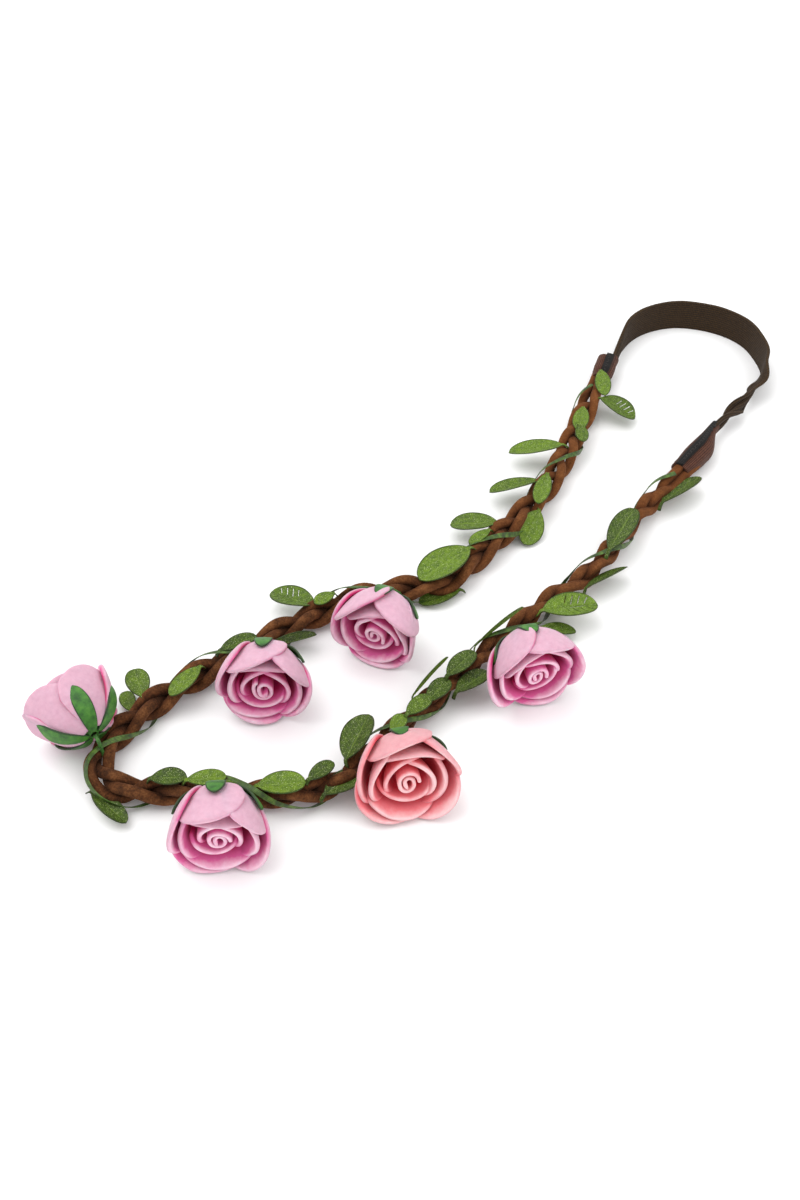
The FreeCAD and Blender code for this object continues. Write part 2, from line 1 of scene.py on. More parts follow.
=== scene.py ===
"""Flower crown: a suede plait with an elastic back, a leafy ribbon vine and six foam roses.

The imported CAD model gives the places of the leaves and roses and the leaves' sizes, and the two
middle lines repeat the CAD's. Each sub-assembly is a class with its other dimensions, and each
surface is worked out on a grid. Its lengths are millimetres, and MM turns them into metres.
"""

from __future__ import annotations

import json
import logging
import math
from dataclasses import dataclass, field, replace
from enum import Enum

import bpy
import numpy as np
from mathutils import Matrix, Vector

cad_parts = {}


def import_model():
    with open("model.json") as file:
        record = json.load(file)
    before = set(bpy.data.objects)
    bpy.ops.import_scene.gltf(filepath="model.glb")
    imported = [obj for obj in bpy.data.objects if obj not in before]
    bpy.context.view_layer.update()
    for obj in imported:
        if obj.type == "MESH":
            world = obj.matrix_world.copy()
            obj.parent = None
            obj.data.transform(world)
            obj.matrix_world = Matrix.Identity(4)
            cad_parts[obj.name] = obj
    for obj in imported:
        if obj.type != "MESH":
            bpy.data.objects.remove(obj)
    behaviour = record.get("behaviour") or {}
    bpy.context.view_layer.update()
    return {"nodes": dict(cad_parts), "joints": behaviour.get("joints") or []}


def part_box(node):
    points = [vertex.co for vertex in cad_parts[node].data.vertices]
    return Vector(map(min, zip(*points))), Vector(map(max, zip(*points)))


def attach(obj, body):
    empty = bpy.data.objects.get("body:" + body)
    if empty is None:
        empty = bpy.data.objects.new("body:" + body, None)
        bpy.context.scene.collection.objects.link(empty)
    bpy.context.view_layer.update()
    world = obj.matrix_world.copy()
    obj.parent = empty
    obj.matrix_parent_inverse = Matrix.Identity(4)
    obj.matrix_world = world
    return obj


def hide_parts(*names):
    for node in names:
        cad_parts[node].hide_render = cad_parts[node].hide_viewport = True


LOG = logging.getLogger("flower_crown")
MM = 0.001
TURN = 2.0 * math.pi
UP = np.array([0.0, 0.0, 1.0])
Array = np.ndarray
Material = bpy.types.Material
Node = bpy.types.Node
Socket = bpy.types.NodeSocket

# Middle line of the plait, from the far join round the front bend to the near join (metres).
PLAIT_ROUTE = (
    (0.08717, 0.02786), (0.08017, 0.02496), (0.06597, 0.01976), (0.04766, 0.01306),
    (0.02916, 0.00666), (0.01366, 0.00436), (-0.00033, 0.00386), (-0.01484, 0.00276),
    (-0.02684, 0.00346), (-0.03463, 0.01036), (-0.04263, 0.01636), (-0.05233, 0.02026),
    (-0.06234, 0.02336), (-0.07483, 0.02546), (-0.08713, 0.02876), (-0.09933, 0.03066),
    (-0.11043, 0.03136), (-0.12004, 0.03056), (-0.12713, 0.02746), (-0.12943, 0.02246),
    (-0.12843, 0.01736), (-0.12183, 0.01006), (-0.11524, 0.00166), (-0.10873, -0.00644),
    (-0.10154, -0.01594), (-0.09083, -0.02054), (-0.07663, -0.01984), (-0.06174, -0.02004),
    (-0.04824, -0.02044), (-0.03284, -0.02124), (-0.01344, -0.02154), (0.00337, -0.02514),
    (0.02716, -0.02134), (0.04256, -0.02074), (0.05516, -0.02044), (0.06767, -0.02014),
)
PLAIT_HEIGHT = 0.0042

# Middle line of the elastic, from the near join round the back to the far join (metres).
ELASTIC_ROUTE = (
    (0.05767, -0.01774), (0.06767, -0.01749), (0.08367, -0.01709), (0.10317, -0.01674),
    (0.11517, -0.01514), (0.12297, -0.01254), (0.12837, -0.00714), (0.13397, 0.00106),
    (0.13506, 0.01046), (0.13256, 0.01926), (0.12806, 0.02666), (0.11987, 0.03176),
    (0.11017, 0.03346), (0.10017, 0.03046), (0.08807, 0.02566), (0.07937, 0.02206),
)
ELASTIC_HEIGHT = 0.005


# ------------------------------------------------------------------ colour and finishes
def linear(hex_code: str) -> tuple[float, float, float, float]:
    """Linear red, green, blue and an alpha of one, from an sRGB hex code."""
    digits = hex_code.lstrip("#")
    channels = [int(digits[i:i + 2], 16) / 255.0 for i in (0, 2, 4)]
    red, green, blue = [c / 12.92 if c <= 0.04045 else ((c + 0.055) / 1.055) ** 2.4 for c in channels]
    return (red, green, blue, 1.0)


class Tone(Enum):
    """How light a leaf's dye is, from 0 to 1."""

    DARK = 0.15
    MIDDLE = 0.5
    LIGHT = 0.85


@dataclass(frozen=True)
class Cloth:
    """Colours and surface of a woven or coated cloth."""

    shadow: str
    middle: str
    light: str
    roughness: float
    sheen: float = 0.0
    coat: float = 0.0


@dataclass(frozen=True)
class Foam:
    """Colours of a foam petal: its face from foot to rim, deep at the foot partly from dye and partly as
    painted recess shade, and its pale back.
    """

    foot: str
    belly: str
    rim: str
    back: str


SUEDE = Cloth("#28150a", "#55331b", "#7e5230", 0.95, sheen=0.14)
ELASTIC = Cloth("#140c05", "#30200e", "#4e3818", 0.84, sheen=0.02)
WRAP = Cloth("#20100a", "#4c291b", "#72462e", 0.82, sheen=0.04)
LEAF = Cloth("#1b2a05", "#456010", "#6f8c22", 0.60, coat=0.03)
RIBBON = Cloth("#1c2e08", "#38540c", "#62822c", 0.52, coat=0.04)
CALYX = Cloth("#1b4a10", "#35701c", "#568f2c", 0.58, coat=0.04)
PINK = Foam("#bc1160", "#dc629e", "#f2cbdc", "#be8fa3")
PEACH = Foam("#d02c40", "#e87a82", "#f4c8ca", "#ca868e")


class Graph:
    """A node material with a Principled surface, and short ways of adding nodes to it."""

    def __init__(self, name: str) -> None:
        self.material = bpy.data.materials.new(name)
        self.material.use_nodes = True
        self.tree = self.material.node_tree
        self.shader = next(n for n in self.tree.nodes if n.type == "BSDF_PRINCIPLED")

    def put(self, node: Node, name: str | int, value: object) -> None:
        """Fill a node's input with a plain value, or link it to another node's output."""
        if isinstance(value, Socket):
            self.tree.links.new(value, node.inputs[name])
        else:
            node.inputs[name].default_value = value

    def add(self, kind: str, settings: dict | None = None, inputs: dict | None = None) -> Node:
        """Add a node of one of Blender's types, set its options and fill its inputs."""
        node = self.tree.nodes.new(kind)
        for name, value in (settings or {}).items():
            setattr(node, name, value)
        for name, value in (inputs or {}).items():
            self.put(node, name, value)
        return node

    def finish(self, **inputs: object) -> Material:
        """Fill the surface's inputs, with underscores for spaces, and hand over the material."""
        for name, value in inputs.items():
            self.put(self.shader, name.replace("_", " "), value)
        return self.material

    def noise(self, place: Socket, size_mm: float, detail: float = 2.0) -> Socket:
        """Noise whose blobs are about size_mm across, in the object's own coordinates."""
        return self.add("ShaderNodeTexNoise", inputs={
            "Vector": place, "Scale": 1.0 / (size_mm * MM), "Detail": detail, "Roughness": 0.6,
        }).outputs["Fac"]

    def ramp(self, value: Socket, stops: list[tuple[float, str]]) -> Socket:
        """Colour ramp through hex colours at the given positions."""
        node = self.add("ShaderNodeValToRGB", inputs={"Fac": value})
        elements = node.color_ramp.elements
        while len(elements) < len(stops):
            elements.new(0.5)
        for element, (position, code) in zip(elements, stops):
            element.position = position
            element.color = linear(code)
        return node.outputs["Color"]

    def mix(self, share: object, first: object, second: object, blend: str = "MIX") -> Socket:
        """Mix two colours; share is a number or a socket."""
        return self.add("ShaderNodeMix", {"data_type": "RGBA", "blend_type": blend},
                        {0: share, 6: first, 7: second}).outputs[2]

    def math(self, operation: str, *values: object, clamp: bool = False) -> Socket:
        """One arithmetic step on numbers or sockets."""
        return self.add("ShaderNodeMath", {"operation": operation, "use_clamp": clamp},
                        dict(enumerate(values))).outputs[0]

    def times(self, first: object, second: object) -> Socket:
        """Product of two numbers or sockets."""
        return self.math("MULTIPLY", first, second)

    def plus(self, first: object, second: object) -> Socket:
        """Sum of two numbers or sockets."""
        return self.math("ADD", first, second)

    def wave(self, value: Socket, length_mm: float) -> Socket:
        """Sine of a place in millimetres, with the given wavelength."""
        return self.math("SINE", self.times(value, TURN / length_mm))

    def value_of(self, name: str) -> Socket:
        """A number stored on the mesh's points."""
        return self.add("ShaderNodeAttribute", {"attribute_name": name}).outputs["Fac"]

    def place(self) -> Socket:
        """The object's own coordinates in metres."""
        return self.add("ShaderNodeTexCoord").outputs["Object"]

    def pattern(self, uv_map: str) -> tuple[Socket, Socket]:
        """Both coordinates of a pattern map: along the piece and across it."""
        uv = self.add("ShaderNodeUVMap", {"uv_map": uv_map}).outputs["UV"]
        parts = self.add("ShaderNodeSeparateXYZ", inputs={"Vector": uv})
        return parts.outputs["X"], parts.outputs["Y"]

    def bump(self, height: Socket, depth_mm: float, strength: float = 1.0,
             under: Socket | None = None) -> Socket:
        """Surface relief of a given depth."""
        inputs: dict = {"Height": height, "Distance": depth_mm * MM, "Strength": strength}
        if under is not None:
            inputs["Normal"] = under
        return self.add("ShaderNodeBump", inputs=inputs).outputs["Normal"]


class Finishes:
    """Every material of the crown, made once."""

    def __init__(self) -> None:
        self.suede = self._suede()
        self.elastic = self._elastic("elastic", ELASTIC, paint_flap_shadow=False)
        self.wrap = self._elastic("folded_elastic", WRAP, paint_flap_shadow=True)
        self.leaf = self._leaf()
        self.ribbon = self._ribbon()
        self.calyx = self._calyx()
        self.pink = self._foam("pink_foam", PINK)
        self.peach = self._foam("peach_foam", PEACH)
        self.wire = self._fibre("stem_wire", 0.5, 0.6, "#1f4a17", "#4a8032")
        self.thread = self._fibre("thread", 0.3, 0.7, "#070606", "#2a2320")
        self.floor = Graph("floor").finish(
            Base_Color=(0.92, 0.92, 0.92, 1.0), Roughness=0.9, Specular_IOR_Level=0.0)

    @staticmethod
    def _suede() -> Material:
        """Brushed suede: mottled nap, painted shade in the plait's creases and warmer towards the back."""
        g = Graph("suede")
        place = g.place()
        nap = g.noise(place, 0.45, 4.0)
        patch = g.noise(place, 3.5, 3.0)
        blotch = g.plus(g.times(nap, 0.45), g.times(patch, 0.55))
        colour = g.ramp(blotch, [(0.34, SUEDE.shadow), (0.50, SUEDE.middle), (0.68, SUEDE.light)])
        along = g.add("ShaderNodeSeparateXYZ", inputs={"Vector": place}).outputs["X"]
        warm = g.add("ShaderNodeMapRange", inputs={
            "Value": along, "From Min": -0.08, "From Max": 0.09, "To Min": 0.0, "To Max": 0.42}).outputs[0]
        colour = g.mix(warm, colour, linear("#8a5226"))
        # Painted shade: the colour darkens towards the plait's middle, where the creases between strands
        # lie, and is full on the strands' crowns.
        shade = g.ramp(g.value_of("crown"), [(0.0, "#7a665a"), (0.5, "#dccfc6"), (1.0, "#ffffff")])
        colour = g.mix(0.85, colour, shade, "MULTIPLY")
        return g.finish(
            Roughness=SUEDE.roughness, Sheen_Weight=SUEDE.sheen, Sheen_Roughness=0.45,
            Sheen_Tint=linear("#d08a5c"), Specular_IOR_Level=0.18, Base_Color=colour,
            Normal=g.bump(nap, 0.22, 0.8, g.bump(patch, 0.35, 0.5)))

    @staticmethod
    def _elastic(name: str, cloth: Cloth, paint_flap_shadow: bool) -> Material:
        """Woven elastic: fine ribs along the strip crossed by small weft stitches, and for the wrap a
        painted shadow along the flap's edge.
        """
        g = Graph(name)
        along, across = g.pattern("strip")
        rib = g.math("ABSOLUTE", g.math("SINE", g.times(across, math.pi / 0.75)))
        weft = g.wave(along, 0.6)
        slant = g.wave(g.plus(along, across), 1.1)
        weave = g.plus(g.times(rib, 0.7), g.times(weft, 0.12))
        weave = g.plus(weave, g.times(slant, 0.06))
        fuzz = g.noise(g.place(), 0.8, 4.0)
        tone = g.plus(g.times(weave, 0.55), g.times(fuzz, 0.45))
        colour = g.ramp(tone, [(0.18, cloth.shadow), (0.52, cloth.middle), (0.86, cloth.light)])
        # Painted shadow: the flap's edge is darkened nearly black where the gap under the fold lies.
        if paint_flap_shadow:
            colour = g.mix(g.value_of("flap_edge_shadow"), colour, linear("#0b0908"))
        return g.finish(Roughness=cloth.roughness, Sheen_Weight=cloth.sheen, Specular_IOR_Level=0.3,
                        Base_Color=colour, Normal=g.bump(weave, 0.22, 0.7, g.bump(fuzz, 0.1, 0.5)))

    @staticmethod
    def _leaf() -> Material:
        """Coated satin leaf: pressed midrib and side veins, dark cut edge, fine pale specks painted in as
        highlights.
        """
        g = Graph("leaf_cloth")
        place = g.place()
        along, across = g.pattern("leaf")
        across = g.math("ABSOLUTE", across)
        slanted = g.math("SUBTRACT", g.times(along, 9.0), g.times(across, 2.3))
        side = g.math("LESS_THAN", g.math("PINGPONG", slanted, 0.5), 0.055)
        side = g.times(side, g.math("LESS_THAN", across, 0.86))
        rib = g.math("LESS_THAN", across, 0.055)
        vein = g.math("MAXIMUM", g.times(side, 0.75), rib)
        mottle = g.math("MULTIPLY_ADD", g.noise(place, 1.1, 4.0), 2.6, -0.8, clamp=True)
        # Painted highlights: scattered pale specks, which are also made less rough.
        highlight_speck = g.math("GREATER_THAN", g.noise(place, 0.22, 0.0), 0.70)
        dark = g.mix(mottle, linear(LEAF.shadow), linear("#3c520e"))
        light = g.mix(mottle, linear(LEAF.middle), linear(LEAF.light))
        colour = g.mix(g.value_of("tone"), dark, light)
        colour = g.mix(g.times(vein, 0.34), colour, linear("#85a040"))
        colour = g.mix(g.times(highlight_speck, 0.45), colour, linear("#c6d394"))
        edge = g.math("GREATER_THAN", across, 0.93)
        colour = g.mix(g.times(edge, 0.65), colour, linear("#1a2606"))
        rough = g.math("SUBTRACT", g.math("MULTIPLY_ADD", mottle, 0.3, LEAF.roughness - 0.1),
                       g.times(highlight_speck, 0.22))
        grain = g.bump(g.noise(place, 0.3, 2.0), 0.06, 0.6)
        return g.finish(
            Specular_IOR_Level=0.28, Coat_Weight=LEAF.coat, Coat_Roughness=0.38, Base_Color=colour,
            Roughness=rough, Normal=g.bump(g.math("SUBTRACT", 1.0, vein), 0.16, 0.8, grain))

    @staticmethod
    def _ribbon() -> Material:
        """Satin ribbon: fine lengthwise threads and soft creases."""
        g = Graph("vine_ribbon")
        _, across = g.pattern("strip")
        thread = g.wave(across, 0.35)
        mottle = g.noise(g.place(), 1.6, 4.0)
        tone = g.math("MULTIPLY_ADD", thread, 0.06, mottle)
        colour = g.ramp(tone, [(0.3, RIBBON.shadow), (0.52, RIBBON.middle), (0.75, RIBBON.light)])
        return g.finish(Roughness=RIBBON.roughness, Coat_Weight=RIBBON.coat, Base_Color=colour,
                        Normal=g.bump(mottle, 0.2, 0.6, g.bump(thread, 0.05, 0.5)))

    @staticmethod
    def _calyx() -> Material:
        """Smooth coated felt, brighter than the leaves, darker at the cut edge."""
        g = Graph("calyx_felt")
        place = g.place()
        mottle = g.noise(place, 1.8, 4.0)
        colour = g.ramp(mottle, [(0.3, CALYX.shadow), (0.52, CALYX.middle), (0.8, CALYX.light)])
        colour = g.mix(g.math("GREATER_THAN", g.value_of("edge"), 0.86), colour, linear("#1c3a12"))
        return g.finish(Roughness=CALYX.roughness, Coat_Weight=CALYX.coat, Base_Color=colour,
                        Normal=g.bump(g.noise(place, 0.25, 3.0), 0.08, 0.5))

    @staticmethod
    def _foam(name: str, foam: Foam) -> Material:
        """Foam sheet: deep at the petal's foot, partly dye and partly painted recess shade, pale at the
        rim, with a fine cell texture.
        """
        g = Graph(name)
        place = g.place()
        mottle = g.noise(place, 3.0, 3.0)
        # Painted shade: the face colour deepens towards the petal's foot, down in the rose's recess.
        graded = g.plus(g.value_of("rim"), g.math("MULTIPLY_ADD", mottle, 0.16, -0.08))
        face = g.ramp(graded, [(0.66, foam.foot), (0.88, foam.belly), (1.0, foam.rim)])
        back = g.mix(g.times(g.noise(place, 1.4, 4.0), 0.5), linear(foam.back), linear(foam.rim))
        cells = g.add("ShaderNodeTexVoronoi", {"feature": "SMOOTH_F1"}, {
            "Vector": place, "Scale": 1.0 / (0.28 * MM)}).outputs["Distance"]
        return g.finish(
            Roughness=0.62, Specular_IOR_Level=0.32, Subsurface_Weight=0.22,
            Subsurface_Radius=(1.0, 0.35, 0.45), Subsurface_Scale=1.4 * MM, Sheen_Weight=0.10,
            Base_Color=g.mix(g.value_of("face"), back, face), Normal=g.bump(cells, 0.035, 0.6))

    @staticmethod
    def _fibre(name: str, grain_mm: float, roughness: float, dark: str, light: str) -> Material:
        """A wrapped or twisted fibre, for the paper-covered wire and the sewing thread."""
        g = Graph(name)
        grain = g.noise(g.place(), grain_mm, 2.0)
        return g.finish(Roughness=roughness, Base_Color=g.ramp(grain, [(0.3, dark), (0.7, light)]),
                        Normal=g.bump(grain, 0.1))


# ------------------------------------------------------------------ mesh building
@dataclass
class Surface:
    """Points in millimetres with faces, a pattern map and values on the points."""

    points: Array
    faces: Array
    uv: Array | None = None
    values: dict[str, Array] = field(default_factory=dict)

    @staticmethod
    def joined(parts: list["Surface"]) -> "Surface":
        """One surface from several that carry the same values."""
        starts = np.cumsum([0] + [len(p.points) for p in parts[:-1]])
        uv = None if parts[0].uv is None else np.concatenate([p.uv for p in parts])
        return Surface(
            np.concatenate([p.points for p in parts]),
            np.concatenate([p.faces + start for p, start in zip(parts, starts)]),
            uv,
            {name: np.concatenate([p.values[name] for p in parts]) for name in parts[0].values})


def grid_faces(rows: int, columns: int, closed: bool = False) -> Array:
    """Quads of a grid of points stored row by row; closed joins the last column to the first."""
    row = np.arange(rows - 1)[:, None] * columns
    column = np.arange(columns if closed else columns - 1)[None, :]
    nxt = (column + 1) % columns
    quads = np.stack([row + column, row + nxt, row + columns + nxt, row + columns + column], axis=-1)
    return quads.reshape(-1, 4)


def make_piece(name: str, surface: Surface, material: Material, body: str, node: str,
               uv_name: str = "strip", thickness_mm: float = 0.0,
               smooth_levels: int = 0) -> bpy.types.Object:
    """Write a surface as an object that rides on a CAD body and replaces one CAD node.

    A wall of thickness_mm is centred on the surface, and subdivision is added after it.
    """
    mesh = bpy.data.meshes.new(name)
    faces = surface.faces
    mesh.vertices.add(len(surface.points))
    mesh.vertices.foreach_set("co", (surface.points * MM).ravel())
    mesh.loops.add(faces.size)
    mesh.loops.foreach_set("vertex_index", faces.ravel())
    mesh.polygons.add(len(faces))
    mesh.polygons.foreach_set("loop_start", np.arange(0, faces.size, 4))
    mesh.update(calc_edges=True)
    mesh.polygons.foreach_set("use_smooth", np.ones(len(faces), dtype=bool))
    if surface.uv is not None:
        layer = mesh.uv_layers.new(name=uv_name)
        layer.data.foreach_set("uv", surface.uv[faces.ravel()].ravel())
    for value_name, values in surface.values.items():
        attribute = mesh.attributes.new(value_name, "FLOAT", "POINT")
        attribute.data.foreach_set("value", values.astype(np.float32).ravel())
    mesh.validate()
    mesh.materials.append(material)
    piece = bpy.data.objects.new(name, mesh)
    bpy.context.scene.collection.objects.link(piece)
    if thickness_mm:
        wall = piece.modifiers.new("Wall", "SOLIDIFY")
        wall.thickness, wall.offset, wall.use_even_offset = thickness_mm * MM, 0.0, False
    if smooth_levels:
        smooth = piece.modifiers.new("Smooth", "SUBSURF")
        smooth.levels = smooth.render_levels = smooth_levels
    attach(piece, body)
    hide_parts(node)
    return piece


def unit(vectors: Array) -> Array:
    """Vectors scaled to length one along the last axis."""
    return vectors / np.maximum(np.linalg.norm(vectors, axis=-1, keepdims=True), 1e-12)


def smoothstep(x: Array | float) -> Array:
    """Ease from 0 to 1."""
    x = np.clip(x, 0.0, 1.0)
    return x * x * (3.0 - 2.0 * x)


class Ripple:
    """Smooth seeded waviness: a sum of a few sines with random phases."""

    def __init__(self, seed: int, waves: int = 5) -> None:
        rng = np.random.default_rng(seed)
        self.phase = rng.uniform(0.0, TURN, (waves, 2))
        self.rate = rng.uniform(0.5, 1.6, (waves, 2))

    def __call__(self, u: Array, v: Array) -> Array:
        """Waviness between about -1 and 1 at the given places, in radians of pattern."""
        total = np.zeros(np.broadcast(u, v).shape)
        for (pu, pv), (ru, rv) in zip(self.phase, self.rate):
            total = total + np.sin(ru * u + pu) * np.cos(rv * v + pv)
        return total / len(self.phase)


class Route:
    """The smooth line that Blender's own spline draws through given points."""

    def __init__(self, name: str, ground: tuple[tuple[float, float], ...], height: float) -> None:
        curve = bpy.data.curves.new(name, "CURVE")
        curve.dimensions = "3D"
        curve.resolution_u = 24
        spline = curve.splines.new("NURBS")
        spline.points.add(len(ground) - 1)
        for point, (x, y) in zip(spline.points, ground):
            point.co = (x, y, height, 1.0)
        spline.order_u = 3
        spline.use_endpoint_u = True
        holder = bpy.data.objects.new(name, curve)
        mesh = bpy.data.meshes.new_from_object(holder)
        flat = np.empty(len(mesh.vertices) * 3)
        mesh.vertices.foreach_get("co", flat)
        metres = flat.reshape(-1, 3)
        self.metres = [tuple(p) for p in metres]
        self.points = metres / MM
        steps = np.linalg.norm(np.diff(self.points, axis=0), axis=1)
        self.stations = np.concatenate([[0.0], np.cumsum(steps)])
        self.length = float(self.stations[-1])
        self.tangents = unit(np.gradient(self.points, self.stations, axis=0))
        bpy.data.objects.remove(holder)
        bpy.data.meshes.remove(mesh)

    def frame(self, s: Array) -> tuple[Array, Array, Array]:
        """Points, directions and level sideways directions at distances s in millimetres."""
        pick = lambda table: np.stack([np.interp(s, self.stations, table[:, k]) for k in range(3)], -1)
        point, tangent = pick(self.points), unit(pick(self.tangents))
        side = unit(np.stack([-tangent[..., 1], tangent[..., 0], np.zeros_like(tangent[..., 0])], -1))
        return point, tangent, side

    def nearest(self, place: Array) -> tuple[float, float]:
        """Station and level distance of the line's nearest point to a place."""
        gap = np.linalg.norm(self.points[:, :2] - place[:2], axis=1)
        index = int(np.argmin(gap))
        return float(self.stations[index]), float(gap[index])


def sweep(centre: Array, outline: Array, lean: Array | None = None) -> Array:
    """Rings of points (rows, columns, 3) round a line (rows, 3).

    The outline (rows or 1, columns, 2) holds the section's offsets, first along `lean`, which
    is up if missing, then across it.
    """
    tangent = unit(np.gradient(centre, axis=0))
    lean = np.broadcast_to(UP, centre.shape) if lean is None else lean
    first = unit(lean - (lean * tangent).sum(-1, keepdims=True) * tangent)
    second = np.cross(tangent, first)
    return centre[:, None] + outline[..., 0:1] * first[:, None] + outline[..., 1:2] * second[:, None]


# ------------------------------------------------------------------ the plait
@dataclass
class Plait:
    """Three suede strands plaited over each other and gathered at both ends."""

    route: Route
    strand_radius: float = 1.30
    half_width: float = 2.25
    half_height: float = 1.75
    near_half_width: float = 1.40
    narrow_from: float = 235.0
    narrow_over: float = 60.0
    bundle_radius: float = 1.50
    periods: int = 11
    phase_at_join: float = math.radians(30.0)
    end_run: float = 20.0
    gather: float = 8.0
    rows_per_mm: float = 2.4
    columns: int = 22
    hairs: int = 15000
    hair_length: float = 0.42

    def narrowing(self, s: Array) -> Array:
        """Share of the way from the far side's full width to the near side's smaller one."""
        return smoothstep((s - self.narrow_from) / self.narrow_over)

    def offsets(self, strand: int, s: Array) -> tuple[Array, Array]:
        """Sideways and upward place of a strand in the plait: a sine across for every two of height."""
        run = self.route.length - 2.0 * self.end_run
        turn = np.clip((s - self.end_run) / run, 0.0, 1.0) * self.periods * TURN
        near_end = np.minimum(s, self.route.length - s)
        loose = smoothstep((near_end - self.end_run + self.gather) / self.gather)
        angle = self.phase_at_join + turn + strand * TURN / 3.0
        swing = self.half_width + (self.near_half_width - self.half_width) * self.narrowing(s)
        wide = self.bundle_radius + (swing - self.bundle_radius) * loose
        high = self.bundle_radius + (self.half_height - self.bundle_radius) * loose
        return wide * np.sin(angle), high * np.sin(2.0 * angle)

    def centre(self, strand: int, s: Array) -> Array:
        """Centre line of a strand, eased so that it leaves the bundles without a kink."""
        point, _, side = self.route.frame(s)
        across, up = self.offsets(strand, s)
        kernel = np.hanning(13)
        kernel = kernel / kernel.sum()
        ease = lambda row: np.convolve(np.pad(row, 6, mode="edge"), kernel, mode="valid")
        wander = Ripple(strand + 40)
        across = ease(across) + 0.12 * wander(s / 9.0, 0.0 * s)
        up = ease(up)
        return point + side * across[:, None] + UP * up[:, None]

    def strand(self, number: int) -> Surface:
        """A rounded suede lace: slightly flat where it crosses, with a soft lumpy surface."""
        rows = int(self.route.length * self.rows_per_mm)
        s = np.linspace(0.0, self.route.length, rows)
        centre = self.centre(number, s)
        around = np.linspace(0.0, TURN, self.columns, endpoint=False)
        cos, sin = np.cos(around), np.sin(around)
        square = (np.abs(cos) ** 2.5 + np.abs(sin) ** 2.5) ** (-1.0 / 2.5)
        lumps = Ripple(number, 7)(s[:, None] / 1.7, 2.0 * around[None, :])
        folds = Ripple(number + 10, 4)(s[:, None] / 6.0, around[None, :])
        radius = self.strand_radius * square[None, :] * (1.0 + 0.035 * lumps + 0.045 * folds)
        cap = np.sqrt(np.clip(np.minimum(s, s[-1] - s) / 1.5, 1e-3, 1.0))
        radius = radius * cap[:, None]
        outline = np.stack([0.93 * radius * cos, 1.08 * radius * sin], -1)
        rings = sweep(centre, outline)
        middle = self.route.frame(s)[0]
        reach = np.linalg.norm(rings - middle[:, None], axis=-1)
        # crown: how far a point lies out from the plait's middle; the suede uses it to paint shade into the
        # creases.
        crown = np.clip((reach - 1.1) / 2.1, 0.0, 1.0)
        uv = np.stack(np.broadcast_arrays(s[:, None], around[None, :] * self.strand_radius), -1)
        return Surface(rings.reshape(-1, 3), grid_faces(rows, self.columns, True)[:, ::-1],
                       uv.reshape(-1, 2), {"crown": crown.ravel()})

    def nap(self, surface: Surface, seed: int) -> Surface:
        """Short raised fibres: thin tapered blades leaning along the strand."""
        rng = np.random.default_rng(seed)
        corners = surface.points[surface.faces]
        face = rng.integers(0, len(corners), self.hairs)
        weight = rng.dirichlet(np.ones(4), self.hairs)
        root = (corners[face] * weight[..., None]).sum(1)
        edge_a, edge_b = corners[face, 1] - corners[face, 0], corners[face, 3] - corners[face, 0]
        normal = unit(np.cross(edge_a, edge_b))
        lean = unit(normal + 0.9 * rng.normal(size=(self.hairs, 3)))
        lean = np.where((lean * normal).sum(-1, keepdims=True) < 0.15, normal, lean)
        length = self.hair_length * rng.uniform(0.4, 1.0, (self.hairs, 1))
        across = unit(np.cross(lean, rng.normal(size=(self.hairs, 3)))) * 0.03
        tip = root + lean * length
        points = np.stack([root - across, root + across, tip + 0.3 * across, tip - 0.3 * across], 1)
        faces = np.arange(self.hairs * 4).reshape(-1, 4)
        crown = surface.values["crown"][surface.faces[face, 0]]
        return Surface(points.reshape(-1, 3), faces, np.zeros((len(points) * 4, 2)),
                       {"crown": np.repeat(crown, 4)})

    def build(self, finishes: Finishes) -> None:
        for number in range(3):
            surface = self.strand(number)
            whole = Surface.joined([surface, self.nap(surface, number)])
            make_piece("suede_strand_%d" % (number + 1), whole, finishes.suede, "band",
                                     "strand_%d" % (number + 1))


